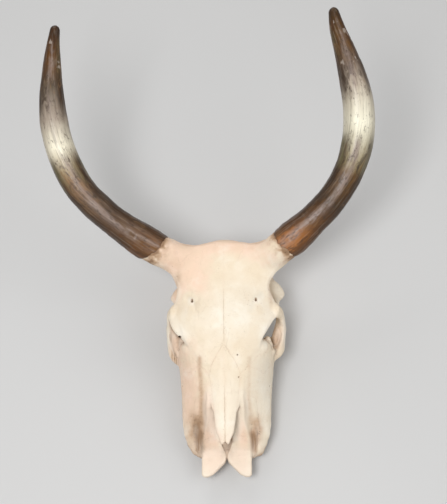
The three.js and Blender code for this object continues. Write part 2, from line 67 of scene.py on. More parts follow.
FIELD_LOW, FIELD_HIGH = (-8, -6), (462, 214)
FAR_OUT, BALL_MARGIN, QUICK_STEP = 60, 12, 2.6
# Depth of the nasal bones' bed and of the frontal under the roof, and the occipital's front.
NASAL_BED, FRONTAL_DEPTH, OCCIPITAL_FROM = 9.5, 34, 385
ROOF = [
    (40, 83), (54, 87), (100, 102), (150, 118), (200, 134), (222, 142),
    (260, 157), (300, 169), (340, 177), (380, 183), (410, 186.5), (432, 187),
]
# s, roof z, shoulder x z, flank x z, crest x z, outer gum x z, inner gum x z, palate z
FACE = [
    (40, 80, 14, 76, 34, 50, 50, 26, 52, 14, 42, 11, 24),
    (50, 85, 15, 82, 42, 52, 63, 27, 63, 13, 46, 9, 25),
    (60, 89, 17, 85, 46, 55, 71, 30, 69, 13, 49, 9, 26),
    (78, 95, 20, 91, 50, 62, 80, 35, 74, 14, 51, 10, 28),
    (95, 100, 22, 96, 53, 70, 84, 39, 76, 16, 52, 12, 30),
    (120, 108, 25, 104, 55, 82, 86, 45, 77, 18, 53, 13, 33),
    (146, 117, 28, 112, 58, 92, 87, 52, 78, 20, 54, 14, 36),
    (180, 128, 33, 123, 66, 104, 90, 60, 79, 22, 55, 16, 38),
    (205, 136, 44, 130, 74, 113, 93, 66, 76, 30, 53, 22, 40),
    (224, 142, 54, 134, 82, 120, 95, 72, 68, 42, 46, 34, 44),
    (240, 148, 56, 138, 80, 118, 96, 76, 60, 50, 38, 42, 50),
    (262, 156, 50, 140, 58, 110, 74, 78, 46, 54, 26, 50, 54),
    (300, 167, 40, 150, 48, 110, 44, 80, 34, 58, 18, 54, 56),
]
FOREHEAD_EDGE = [
    (190, 38, 123), (206, 52, 128), (222, 66, 132), (241, 76, 139), (262, 87, 141),
    (280, 98, 137), (294, 107, 129), (304, 108, 127), (314, 100, 138), (325, 92, 152),
    (337, 88.5, 161), (348, 90, 163), (358, 95, 164), (369, 103, 166), (380, 112, 168),
    (392, 118, 172), (404, 116, 175), (414, 103, 176), (421, 84, 175), (426, 62, 172),
    (431, 34, 168),
]
BRAINCASE = [
    (246, 26, 62, 120), (262, 40, 56, 140), (285, 52, 52, 156), (310, 58, 52, 163),
    (338, 62, 54, 170), (356, 68, 56, 172), (370, 82, 58, 172), (382, 94, 60, 170),
    (396, 94, 60, 172), (410, 86, 60, 174), (422, 72, 60, 170), (431, 54, 66, 158),
    (436, 34, 80, 140),
]
CHEEK_BAR = [
    (88, 226, 64, 8, 12), (98, 238, 69, 11, 14), (104.5, 250, 73, 10, 15),
    (106, 266, 77, 11, 14), (108.5, 284, 82, 9, 14), (105, 308, 86, 6, 9.5),
    (100, 332, 90, 6, 8), (96, 356, 92, 9, 10),
]
CHEEK_CORNER_RIGHT = [
    (-88, 220, 64, 9, 11), (-101, 231, 67, 10, 13), (-106, 244, 72, 9, 14),
    (-109, 258, 76, 8, 14), (-111, 276, 81, 8, 13), (-112, 290, 86, 6, 10),
]
BROW_RIGHT = [
    (-68, 236, 132, 5, 4), (-86, 253, 133, 7, 4.5), (-96, 269, 132, 8, 5), (-104, 288, 128, 6, 6),
]
ORBIT_POST = [
    (109, 284, 80, 8, 11), (111.5, 288, 94, 6.5, 9), (111, 294, 108, 6, 9),
    (107, 298, 120, 8, 11), (99, 299, 132, 10, 13),
]
EAR_ROOT_LEFT = [
    (56, 372, 104, 26, 22), (80, 366, 102, 22, 18), (96, 359, 98, 19, 13), (107, 352, 94, 13, 8),
    (112.5, 350, 93, 5, 5),
]
EAR_ROOT_RIGHT = [
    (-56, 370, 104, 24, 22), (-80, 362, 102, 19, 17), (-96, 354, 98, 13, 12),
    (-105, 349, 95, 8, 8), (-109, 348, 94, 4.5, 5),
]
JUGULAR_PROCESS = [
    (72, 393, 104, 18, 14), (68, 399, 72, 13, 12), (61, 408, 44, 8, 13), (57, 413, 28, 6, 10),
    (55, 415, 18, 5, 7),
]
# The premaxilla's rise to the nasal bones: s, top z, outer edge x, inner edge x.
NOSE_RAMP = [
    (40, 30.5, 47.5, 13), (50, 34, 47, 10), (60, 42, 45.5, 9.5), (71, 51.5, 43, 10),
    (82, 62, 40, 11), (94, 73, 37.5, 12), (106, 84, 36.5, 13), (120, 94, 36, 16),
    (136, 101.5, 35, 20), (152, 107, 33, 23),
]
# The deep valley beside that strip, and the cleft at its foot.
VALLEY = [
    (62, 56, 49, 7, 7), (55, 78, 63, 8, 8), (49, 104, 82, 8, 7), (47, 134, 102, 7, 5),
    (48, 166, 116, 5, 3),
]
CLEFT = [(52.5, 38, 36, 3, 10), (53, 58, 42, 4, 10), (52, 76, 56, 5.5, 8), (48, 98, 76, 5, 5)]
NAPE_RIDGE = [(0, 431, 112, 4, 5), (0, 434, 136, 5, 5), (0, 430, 156, 9, 6)]
SPINAL_OPENING = [(0, 376, 92, 15, 15), (0, 412, 89, 17, 16), (0, 470, 86, 20, 19)]
BROW_OPENING = [(62.5, 313, 175, 1.7, 3), (61.5, 308, 150, 1.7, 3)]
CHEEK_OPENING = [(85, 80, 27, 3.4, 3), (60, 100, 38, 2.6, 2.6)]
ORBIT_LIP_LEFT = [
    (107, 300, 82, 5, 8), (102, 285, 82, 6, 9), (98, 268, 81, 7, 9), (95, 252, 78, 7, 9),
]
ORBIT_FILL_RIGHT = [
    (-106, 302, 94, 6, 11), (-101, 284, 96, 9, 15), (-97, 264, 96, 11, 16), (-94, 246, 92, 12, 14),
    (-90, 228, 87, 9, 11),
]
SLOT_RIGHT = [(-85.9, 242, 136, 3.2), (-91.8, 268, 90, 2.6)]
# A scroll of thin bone deep in the nose.
LOWER_SCROLL = [(25, 84, 42, 6, 6), (25, 108, 50, 9, 9), (22, 150, 62, 9, 9)]
# Front end of each gum, round the root of the first tooth: centre, half lengths.
GUM_LOBES = [((62.5, 58, 20), (9, 12.5, 15)), ((-60.5, 60, 20), (9, 11.5, 15))]
# Furrows that run from the nerve openings down the forehead, seen from above: x, s.
FURROWS = [
    [(73, 319), (68, 314), (62, 309), (57, 298), (54, 288)],
    [(-72, 317), (-67, 313), (-62, 309), (-57, 300), (-54, 291)],
]
# Patches of the bone in plan: weight, centre x and s, half widths across and along. Those named
# HIGH lie on the roof only, those named BELOW under it.
# The two patches at the ear roots are painted light, which lifts them out of shade.
BLEACHED_AND_LIT = [
    (0.9, 0, 285, 60, 56), (0.3, 2, 90, 18, 70), (0.6, 72, 120, 22, 60), (0.3, 40, 8, 16, 14),
    (0.3, -40, 8, 16, 14), (0.9, -117, 262, 6, 46), (0.9, 117, 262, 4, 40),
    (0.9, 106, 354, 14, 20), (0.9, -106, 350, 12, 16),
]
BLEACHED_HIGH = [(0.9, 84, 244, 22, 30), (0.8, -82, 242, 20, 28)]
# Some of these patches are painted shade: warm pink brown in both valleys beside the nose, grey
# green further out on the left, and warm at the right temple's waist.
WARM = [
    (0.95, -74, 140, 30, 80), (0.8, -52, 352, 42, 60), (0.7, -110, 400, 60, 40),
    (0.4, 70, 400, 60, 50), (1.0, 0, 420, 80, 26), (1.3, -34, 94, 12, 46), (0.7, 34, 84, 10, 36),
    (1.0, -26, 40, 28, 44), (0.7, 28, 36, 28, 44), (0.9, -90, 352, 18, 30),
    (-0.75, 74, 180, 34, 60), (-0.5, 45, 330, 42, 60), (-0.9, 45, 116, 9, 44),
]
# Painted warm shade on the floors of both orbits.
WARM_SHADE_BELOW = [(1.2, -97, 260, 14, 40), (0.8, 100, 260, 12, 36)]
# Painted shade beside the nasal bones, at the right temple's waist and along the left temple's edge
# before the ear root; and darker bone on the poll and the premaxillae.
SHADE_AND_DARKER = [
    (0.17, -36, 96, 9, 40), (0.102, 36, 96, 9, 40), (0.16, -82, 352, 24, 32),
    (0.13, 0, 420, 76, 22), (0.13, -26, 40, 26, 44), (0.07, 28, 38, 26, 44),
    (0.42, 90, 326, 6, 26), (0.3, -87, 352, 8, 16),
]
# Painted shade under the roof: on the floors of both orbits, and three short dark lines at the
# right orbit's front.
SHADE_BELOW = [
    (0.4, 98, 258, 10, 34), (0.2, -97, 262, 11, 34), (0.75, -107, 230, 1.3, 8),
    (0.75, -102, 226, 1.7, 8), (0.75, -98, 221, 1.3, 8),
]
# Where the painted shade of the hollows is weakened: at both ear roots and between the premaxillae.
LIT = [(1, 104, 354, 14, 16), (1, -104, 350, 12, 14), (1, 0, 54, 14, 15)]
# Path in plan of the painted shadow line at the back of the right orbit, under the brow.
ORBIT_FISSURE = [(-108, 283), (-99, 267), (-91, 257)]
# Small openings of vessels: x, s, z, and the direction they run in.
VESSEL_HOLES = [
    (25.7, 205, 133, 0.2, 0.3, -1), (25.4, 165.5, 121, 0.2, 0.3, -1),
    (84, 168, 66, -1, 0.5, 0), (-84, 171, 66, 1, 0.5, 0),
]
POLL_RIDGE = [
    (-80, 402, 163, 22, 20), (-60, 399, 161, 18, 16), (-42, 401, 163, 19, 17),
    (-24, 411, 167, 21, 18), (0, 416, 168, 22, 19), (24, 412, 167, 21, 18),
    (42, 407, 165, 20, 18), (60, 402, 163, 19, 17), (80, 402, 163, 22, 20),
]
SKULL_BASE = [
    (0, 236, 58, 14, 12), (0, 300, 57, 17, 12), (0, 350, 54, 22, 12), (0, 388, 51, 27, 11),
    (0, 416, 56, 28, 13), (0, 430, 58, 22, 10),
]
HORN_RIGHT = [
    (-76, 402, 163, 25), (-104, 405, 174, 29.5), (-134, 413, 187, 33.5), (-160, 424, 202, 33.5),
    (-192, 439, 222, 31), (-231, 461, 249, 29.5), (-272, 493, 284, 30), (-299, 535, 320, 30),
    (-315, 582, 356, 28.5), (-320, 634, 390, 24.5), (-318, 687, 421, 19), (-315, 724, 441, 14),
    (-310, 758, 458, 10),
]
HORN_LEFT = [
    (72, 402, 163, 25), (96, 405, 174, 29.5), (121, 415, 189, 33.5), (144, 428, 202, 33.5),
    (172, 446, 219, 31), (212, 477, 246, 29.5), (245, 517, 279, 29), (264, 563, 314, 31),
    (268, 613, 350, 30.5), (258, 663, 384, 27.5), (242, 713, 415, 21), (230, 748, 434, 16),
    (223, 782, 452, 10),
]
# The row of a horn's table where its sheath begins, and the widest its core may be there.
SHEATH_FROM, CORE_RADIUS = 2, 31.3
SIDEWAYS, BACKWARDS, UPWARDS = (1, 0, 0), (0, 1, 0), (0, 0, 1)
# Direction of the side of the horns that faces the camera, along which a highlight is painted
# and across which the flanks' painted shade is measured, the upward direction that a rim's
# tilt is counted in, and the thickness of a sheath at its rim, mm.
HIGHLIGHT_SIDE, RIM_UP = np.array([0.06, -0.50, 0.86]), np.array([0.024, 0.867, 0.499])
SHEATH_WALL = 1.9
NASAL_WIDTH = [
    (41, 9), (48, 13), (60, 15), (80, 19), (110, 22.5), (140, 26), (168, 30), (178, 29),
    (196, 20), (212, 9), (223, 2),
]
TOOTH_LENGTHS = (17, 18, 18, 23, 27, 28)
TOOTH_ROW_START = 56
# Rings of a tooth from the root to the middle of the chewing face: z, share of the full width.
TOOTH_PROFILE = [
    (22, 0.9), (16, 0.95), (11, 0.98), (7, 1), (4, 1), (2, 0.99), (0.6, 0.965), (0, 0.93),
    (0, 0.9), (0.3, 0.85), (0.8, 0.7), (1, 0.45), (0.9, 0.2), (0.7, 0.02),
]

# Outlines. The premaxilla's fork in x and s, and in s and z what is cut off for the nose opening.
PREMAXILLA_PLAN = [
    (-0.5, 62), (-0.5, 38), (3, 28), (14, 17), (25.5, 5.5), (36, 0.5), (44, 0.5), (48, 5),
    (48, 24), (48.5, 48), (50, 66), (-0.5, 66),
]
NOSE_WEDGE = [
    (-60, 27), (40, 28), (50, 33), (60, 43), (78, 56), (98, 72), (128, 104), (134, 160), (-60, 160),
]
# Sutures: side views in s and z, but the frontal's in x and s.
SUTURE_MAXILLA = [(-60, -50), (226, -50), (240, 160), (-60, 160)]
SUTURE_PREMAXILLA = [
    (-40, -30), (43.5, -30), (43.5, 20), (50, 27), (57, 36), (76, 48), (103, 64), (138, 84),
    (138, 97), (112, 90), (96, 86), (80, 130), (-40, 130),
]
SUTURE_FRONTAL = [
    (-1, 150), (26, 168), (31, 172), (46, 188), (68, 210), (86, 220), (200, 226), (200, 470),
    (-1, 470),
]
SUTURE_LACRIMAL = [(182, 96), (194, 150), (245, 150), (245, 104), (220, 100), (204, 84)]
SUTURE_ZYGOMATIC = [
    (192, 66), (206, 83), (221, 99), (246, 103), (262, 119), (306, 119), (326, 110),
    (316, 60), (300, 30), (236, 30), (228, 48), (214, 57),
]
SUTURE_TEMPORAL = [
    (300, 40), (300, 122), (322, 138), (376, 134), (381, 104), (376, 66), (352, 63), (340, 40),
]

# ---------------------------------------------------------------- curves


def hermite(rows, t):
    """Cubic curve through table rows. First column is the parameter; the slope at each row is
    that of the chord between its neighbours. t is an array, and one row per t comes back."""
    rows = np.asarray(rows, float)
    t = np.asarray(t, float)
    key = rows[:, 0]
    val = rows[:, 1:]
    before = np.r_[key[0], key[:-1]]
    after = np.r_[key[1:], key[-1]]
    low = np.r_[val[:1], val[:-1]]
    high = np.r_[val[1:], val[-1:]]
    slope = (high - low) / (after - before)[:, None]
    i = np.clip(np.searchsorted(key, t, side="right") - 1, 0, len(key) - 2)
    span = key[i + 1] - key[i]
    u = np.clip((t - key[i]) / span, 0, 1)[..., None]
    a, b = val[i], val[i + 1]
    ma, mb = slope[i] * span[..., None], slope[i + 1] * span[..., None]
    return ((2 * u**3 - 3 * u**2 + 1) * a + (u**3 - 2 * u**2 + u) * ma
            + (3 * u**2 - 2 * u**3) * b + (u**3 - u**2) * mb)


def rise(value, low, high):
    """Straight ramp, held at its ends: 0 where value is low and 1 where it is high. The low end
    may be the larger number."""
    return np.clip((value - low) / (high - low), 0, 1)


def with_length(rows):
    """Rows of points with the length walked so far put in front."""
    rows = np.asarray(rows, float)
    walked = np.r_[0, np.cumsum(np.linalg.norm(np.diff(rows[:, :3], axis=0), axis=1))]
    return np.c_[walked, rows]


def closed_ring(half, count):
    """Closed smooth section through a half section's points and their mirror image. A cubic
    runs through the points by the square roots of their distances, and is sampled again at
    even lengths. `half` has shape (stations, points, 2); returns (stations, 2 * count, 2)."""
    out = []
    for points in half:
        chord = np.r_[0, np.cumsum(np.sqrt(np.linalg.norm(np.diff(points, axis=0), axis=1)))]
        fine = hermite(np.c_[chord, points], np.linspace(0, chord[-1], 160))
        run = np.r_[0, np.cumsum(np.linalg.norm(np.diff(fine, axis=0), axis=1))]
        even = np.linspace(0, run[-1], count + 1)
        side = np.c_[np.interp(even, run, fine[:, 0]), np.interp(even, run, fine[:, 1])]
        side[:, 0] = np.maximum(side[:, 0], 0)
        side[[0, -1], 0] = 0
        out.append(np.r_[side, side[1:-1][::-1] * (-1, 1)])
    return np.array(out)


def lattice(i, j, k, seed):
    """Repeatable pseudo-random numbers from -1 to 1 at whole-number grid corners."""
    h = (i * 374761393 + j * 668265263 + k * 2147483647 + seed * 1274126177) & 0xFFFFFFFF
    h = ((h ^ (h >> 13)) * 1274126177) & 0xFFFFFFFF
    h = ((h ^ (h >> 16)) * 2246822519) & 0xFFFFFFFF
    return ((h ^ (h >> 15)) & 0xFFFF) / 32767.5 - 1


def noise(x, y, z, size, seed=0):
    """Smooth noise from -1 to 1: lattice numbers a distance `size` apart, eased between by the
    quintic fade along each axis."""
    x, y, z = np.broadcast_arrays(x, y, z)
    x, y, z = x / size, y / size, z / size
    i, j, k = (np.floor(v).astype(np.int64) for v in (x, y, z))
    u, v, w = (t * t * t * (t * (t * 6 - 15) + 10) for t in (x - i, y - j, z - k))
    return corner_mean((u, v, w), lambda a, b, c: lattice(i + a, j + b, k + c, seed))


def corner_mean(parts, value_at):
    """Mean of the values at the eight corners of a cell, each weighted by how near it is: the
    product over the axes of the part of the way across, or of what is left of it."""
    total = 0
    for corner in np.ndindex(2, 2, 2):
        weight = 1
        for part, far in zip(parts, corner):
            weight = weight * (part if far else 1 - part)
        total = total + weight * value_at(*corner)
    return total


# ---------------------------------------------------------------- distance fields


class Grid:
    """Regular grid with coordinate arrays shaped for broadcasting, and the field on it."""

    def __init__(self, low, high, step):
        self.step = step
        self.axes = [np.arange(a, b + step, step, dtype=np.float32) for a, b in zip(low, high)]
        self.field = np.full([len(a) for a in self.axes], FAR_OUT, np.float32)

    def window(self, low, high):
        """Slices and broadcast coordinates of the part of the grid between two corners."""
        cut = tuple(
            slice(max(0, int(np.searchsorted(a, lo))), int(np.searchsorted(a, hi)) + 1)
            for a, lo, hi in zip(self.axes, low, high)
        )
        x, s, z = (a[c] for a, c in zip(self.axes, cut))
        return cut, x[:, None, None], s[None, :, None], z[None, None, :]


def soft_min(a, b, k):
    """Smaller of two fields, with a fillet about k wide where they meet."""
    h = np.clip(0.5 + 0.5 * (b - a) / k, 0, 1)
    return b + (a - b) * h - k * h * (1 - h)


def soft_max(a, b, k):
    """Larger of two fields, with a rounded edge about k wide."""
    return -soft_min(-a, -b, k)


def evened(field, step):
    """A field divided by its own steepness, so that it counts millimetres near its surface."""
    gx, gs, gz = np.gradient(field, step)
    steep = np.sqrt(gx * gx + gs * gs + gz * gz)
    return field / np.clip(steep, 0.45, 3)


def ring_distance(ring, p, q):
    """Signed distance in a plane from the points (p, q) to a closed ring of corners, negative
    inside: the nearest side counts, and the sign comes from how often a ray crosses the ring.
    A corner's numbers may be arrays, for a ring that differs from station to station."""
    shape = np.broadcast_shapes(np.shape(ring[0][0]), p.shape, q.shape)
    best = np.full(shape, 1e12, np.float32)
    inside = np.zeros(shape, bool)
    for (ap, aq), (bp, bq) in zip(ring, np.roll(ring, -1, axis=0)):
        ep, eq = bp - ap, bq - aq
        dp, dq = p - ap, q - aq
        t = np.clip((dp * ep + dq * eq) / (ep * ep + eq * eq + 1e-9), 0, 1)
        np.minimum(best, (dp - t * ep) ** 2 + (dq - t * eq) ** 2, out=best)
        inside ^= ((aq > q) != (bq > q)) & (dp < dq * ep / np.where(eq == 0, 1e-9, eq))
    return np.where(inside, -1, 1) * np.sqrt(best)


def loft_field(grid, ring_of, start, stop, cap=3):
    """Adds a lofted body: at each grid station between start and stop its section is
    ring_of(stations), and the ends are closed by planes with rounded edges."""
    low = [grid.axes[0][0], start - 8, -6]
    high = [grid.axes[0][-1], stop + 8, grid.axes[2][-1]]
    cut, x, s, z = grid.window(low, high)
    stations = np.clip(s.ravel(), start, stop)
    rings = ring_of(stations).astype(np.float32).transpose(1, 2, 0)[:, :, None, :, None]
    body = evened(ring_distance(rings, x, z), grid.step)
    body = soft_max(body, start - s, cap)
    body = soft_max(body, s - stop, cap)
    return cut, body


def from_scaled(parts, sizes):
    """Distance to an ellipsoid, near its surface: how far out the point lies, counted in half
    lengths, over the steepness of that count."""
    out = np.sqrt(sum((c / r) ** 2 for c, r in zip(parts, sizes)))
    steep = np.sqrt(sum((c / r**2) ** 2 for c, r in zip(parts, sizes)))
    return out * (out - 1) / np.maximum(steep, 1e-4)


def tube_field(grid, rows, across=SIDEWAYS, margin=14, pieces=26, ends=0.55):
    """Distance to a tube along a table of centres with two half thicknesses. For each short
    piece of the path, a point's place across it is scaled to a circle; the smallest counts.
    The ends are domes `ends` of the thickness deep."""
    table = with_length(rows)
    total = table[-1, 0]
    path = hermite(table, np.linspace(0, total, pieces + 1))
    radii = path[:, 3:] if path.shape[1] > 4 else np.repeat(path[:, 3:4], 2, axis=1)
    reach = radii.max() + margin
    cut, x, s, z = grid.window(path[:, :3].min(0) - reach, path[:, :3].max(0) + reach)
    across = np.asarray(across, float)
    best = None
    for i in range(pieces):
        a, b = path[i, :3], path[i + 1, :3]
        span = np.linalg.norm(b - a)
        d = (b - a) / span
        e1 = across - d * (across @ d)
        e1 /= np.linalg.norm(e1)
        e2 = np.cross(d, e1)
        off = (x - a[0], s - a[1], z - a[2])
        t, u, v = (sum(c * e[axis] for axis, c in enumerate(off)) for e in (d, e1, e2))
        w = np.clip(t / span, 0, 1)
        r1 = radii[i, 0] + (radii[i + 1, 0] - radii[i, 0]) * w
        r2 = radii[i, 1] + (radii[i + 1, 1] - radii[i, 1]) * w
        over = t - w * span
        deep = np.minimum(r1, r2)
        along = over / ends if i in (0, pieces - 1) else over
        dist = from_scaled((u, v, along), (r1, r2, deep))
        best = dist if best is None else np.minimum(best, dist)
    return cut, best.astype(np.float32)


def ball_field(grid, centre, sizes, axis=SIDEWAYS):
    """Distance to an ellipsoid whose first half length lies along `axis`."""
    e1 = np.asarray(axis, float) / np.linalg.norm(axis)
    e3 = np.array([0, 0, 1.0]) - e1 * e1[2]
    e3 /= np.linalg.norm(e3)
    e2 = np.cross(e3, e1)
    reach = max(sizes) + BALL_MARGIN
    cut, x, s, z = grid.window(np.array(centre) - reach, np.array(centre) + reach)
    p = [x - centre[0], s - centre[1], z - centre[2]]
    parts = [sum(c * e[i] for i, c in enumerate(p)) for e in (e1, e2, e3)]
    return cut, from_scaled(parts, sizes).astype(np.float32)


def shape(grid, steps):
    """Builds a field up. Each step is a fillet width, the function that makes a body, and its
    arguments, of which the last may be a dict; a negative width carves the body out."""
    for k, maker, *rest in steps:
        options = rest.pop() if rest and isinstance(rest[-1], dict) else {}
        cut, body = maker(grid, *rest, **options)
        if k > 0:
            grid.field[cut] = soft_min(grid.field[cut], body, k)
        else:
            grid.field[cut] = soft_max(grid.field[cut], -body, -k)


# ---------------------------------------------------------------- the skull's field


def roof(s):
    """Height of the skull's upper profile in the middle plane."""
    return hermite(ROOF, s)[..., 0]


def profile_rings(*corners):
    """Closed rings through the corners (x, z) of a half section and their mirror images."""
    rows = [np.stack(np.broadcast_arrays(*corner), 1) for corner in corners]
    return closed_ring(np.stack(rows, axis=1), 26)


def oval_rings(width, low, high, power, count):
    """Rings between two levels: a circle whose sine and cosine are raised to a power under 1."""
    angle = np.linspace(0, 2 * np.pi, count + 1)[:-1]
    c, d = (np.sign(v) * np.abs(v) ** power for v in (np.cos(angle), np.sin(angle)))
    middle, tall = (low + high) / 2, (high - low) / 2
    return np.stack([width[:, None] * c, middle[:, None] + tall[:, None] * d], axis=2)


def face_rings(s):
    """Sections of the face by the table, with a shallow dip before the orbits."""
    top, sx, sz, fx, fz, cx, cz, ox, oz, ix, iz, pz = hermite(FACE, s).T
    dip = 4 * np.exp(-((s - 130) / 55) ** 2)
    return profile_rings((0, top), (sx, sz - dip), (fx, fz - 0.4 * dip), (cx, cz), (ox, oz),
                         (ix, iz), (ix * 0.72, pz - 3), (0, pz))


def forehead_rings(s):
    """Sections of the forehead: from the roof the surface falls to the table's edge with the
    power 2.4 of the way out, and the underside runs back 44 mm below the roof."""
    top = roof(s) - 4 * np.maximum(0, (214 - s) / 24) - 12 * np.maximum(0, (s - 418) / 13) ** 2
    ex, ez = hermite(FOREHEAD_EDGE, s).T
    bend = [(ex * k, top - (top - ez) * k**2.4) for k in (0.3, 0.6, 0.85)]
    return profile_rings((0, top), *bend, (ex, ez - 2), (ex - 3, ez - 9), (ex * 0.8, ez - 11),
                         (ex * 0.6, top - 36), (0, top - 44))


def braincase_rings(s):
    """Rounded boxes by the table."""
    return oval_rings(*hermite(BRAINCASE, s).T, 0.85, 40)


def cavity_rings(s):
    """Sections of the nose's hollow: a little wider than the nasal bones, between its floor and
    the roof, and smaller and smaller from s 130 on."""
    k = 1 - np.maximum(0, (s - 130) / 60)
    width = hermite(NASAL_WIDTH, np.maximum(60, s))[:, 0] * 1.25 * k + 4
    top = roof(np.maximum(44, s)) - 6
    floor = 38 + 0.06 * s + 20 * (1 - k)
    middle, tall = (top + floor) / 2, (top - floor) / 2 * (0.25 + 0.75 * k)
    return oval_rings(width, middle - tall, middle + tall, 0.7, 32)


def nose_notch(grid):
    """The nose opening: the face is cut back above a line that climbs to the nasal bones."""
    cut, _, s, z = grid.window([-20, -30, 0], [140, 150, 200])
    return cut, ring_distance(NOSE_WEDGE, s[0], z[0])[None].astype(np.float32)


def nasal_plate(grid):
    """The two nasal bones as a thin arched plate, cut off in front in two points."""
    cut, x, s, z = grid.window([grid.axes[0][0], 36, 60], [40, 232, 160])
    w = hermite(NASAL_WIDTH, np.clip(s, 41, 223).ravel())[:, 0][None, :, None]
    w = w + 6 * rise(s, 104, 124)
    top = roof(np.clip(s, 40, 224).ravel())[None, :, None] - 0.012 * x * x
    plate = soft_max(z - top, (top - 5.5) - z, 3)
    plate = soft_max(plate, np.abs(x) - w, 3)
    side = np.abs(x)
    front = 50 - 4.5 * np.exp(-((side - 5.8) / 3.2) ** 2) + 1.9 * np.maximum(0, side - 8)
    plate = soft_max(plate, front - s, 1.5)
    plate = soft_max(plate, s - 224, 2)
    return cut, plate


def premaxilla_body(grid):
    """Flat fork of the two premaxillae: a plan outline under a gently rising top."""
    cut, x, s, z = grid.window([grid.axes[0][0], -12, 6], [64, 80, 60])
    plane = ring_distance(PREMAXILLA_PLAN, np.abs(x[:, :, 0]), s[:, :, 0])[:, :, None]
    top = 31 + 0.06 * s - 0.1 * np.maximum(0, 20 - s) - 0.06 * np.abs(x)
    bottom = 20 + 0.06 * s + 0.03 * np.maximum(0, 20 - s)
    slab = soft_max(z - top, bottom - z, 4)
    return cut, soft_max(slab, plane, 4).astype(np.float32)


def nose_ramp(grid):
    """The strip beside the nose opening and the thin bone inside it, as one slab: its top climbs
    by the table, swells towards the nasal bone, and has rounded outer and inner edges."""
    cut, x, s, z = grid.window([5, 36, 16], [60, 166, 116])
    top, outer, inner = hermite(NOSE_RAMP, np.clip(s, 40, 152).ravel()).T[:, None, :, None]
    side = np.abs(x)
    top = top + 3 * rise(side, outer - 9, outer - 17) * np.exp(-((s - 112) / 18) ** 2)
    slab = soft_max(0.75 * (z - top), 0.75 * (top - 11 - z), 4)
    slab = soft_max(slab, side - outer, 5)
    slab = soft_max(slab, inner - side, 3)
    slab = soft_max(slab, 40 - s, 3)
    return cut, soft_max(slab, s - 156, 3).astype(np.float32)


def orbit_bowl(grid, side):
    """Hollow in the cheek's upper side, between the front rim of the orbit and its outer rim."""
    return ball_field(grid, (100 * side, 254, 100), (27, 11.5, 17), (0.26 * side, 1, -0.1))


def muzzle_cleft(grid):
    """Wedge-shaped recess between the two premaxillae, open in front and narrow there."""
    cut, x, s, z = grid.window([grid.axes[0][0], 34, 18], [16, 74, 60])
    width = np.clip((s - 38.5) * 0.44, 0.2, 9.5)
    wedge = soft_max(np.abs(x) - width, (30.4 + 0.06 * (s - 38)) - z, 2)
    return cut, soft_max(wedge, s - 68, 2).astype(np.float32)


# What is the same on both sides, in the order it is built.
HALF_SKULL = [
    (3, loft_field, face_rings, 41, 300), (-4, nose_notch),
    (-3, loft_field, cavity_rings, 20, 176), (-6, ball_field, (0, 120, 8), (24, 130, 20)),
    (8, loft_field, braincase_rings, 246, 436), (8, tube_field, SKULL_BASE),
    (-8, ball_field, (92, 322, 112), (28, 46, 40), (1, 0.1, 0.1)),
    (-5, ball_field, (0, 258, 42), (19, 48, 16)), (6, loft_field, forehead_rings, 191, 431),
    # The orbit: a hollow under the forehead's edge, and its floor, which leaves a slot behind.
    (-4, ball_field, (110, 263, 110), (62, 30, 25), (0.9, -0.3, 0.2)),
    (5, ball_field, (86, 245, 72), (28, 25, 10), (1, 0.1, 0)), (6, tube_field, CHEEK_BAR),
    (-3, orbit_bowl, 1), (6, ball_field, (82, 250, 103), (7, 7, 7)),
    (6, ball_field, (86, 241, 98), (7, 7, 7)), (6, ball_field, (90, 230, 92), (6.5, 6.5, 6.5)),
    (6, tube_field, ORBIT_POST), (8, tube_field, JUGULAR_PROCESS),
    (5, ball_field, (37, 370, 46), (12, 14, 19)),
    (6, ball_field, (29, 426, 66), (21, 19, 27), (1, 0.25, 0)),
    (3, premaxilla_body), (5, ball_field, (0, 92, 33), (25, 46, 7.5)),
    # The maxilla falls away steeply beside the strip that rims the nose opening.
    (-7, tube_field, VALLEY), (4, nose_ramp), (-6, tube_field, CLEFT), (1.5, nasal_plate),
    (-2, muzzle_cleft), (-2, ball_field, (0, 73, 39), (9.5, 10, 10)),
    (2, tube_field, LOWER_SCROLL, {"margin": 6}), (8, tube_field, POLL_RIDGE, BACKWARDS),
    # The nape: a ridge in the middle between two shallow beds of muscle, over the great opening.
    (-6, ball_field, (30, 447, 130), (24, 13, 24)), (6, tube_field, NAPE_RIDGE, {"pieces": 8}),
    (-4, tube_field, SPINAL_OPENING, {"ends": 0.4}),
    (-2, ball_field, (12, 92, 18), (5, 20, 12)), (-2, ball_field, (17, 186, 38), (3.4, 6, 8)),
    # Openings of nerves above and before the orbit.
    (-1.5, tube_field, BROW_OPENING), (-2, tube_field, CHEEK_OPENING, UPWARDS),
]


def vessel_hole(x, s, z, *way):
    """Short bore that narrows inwards, as rows of a tube."""
    way = 7 * np.array(way) / np.linalg.norm(way)
    here = np.array((x, s, z))
    return [(*(here - way * 2), 1.5), (*(here + way), 1.2)]


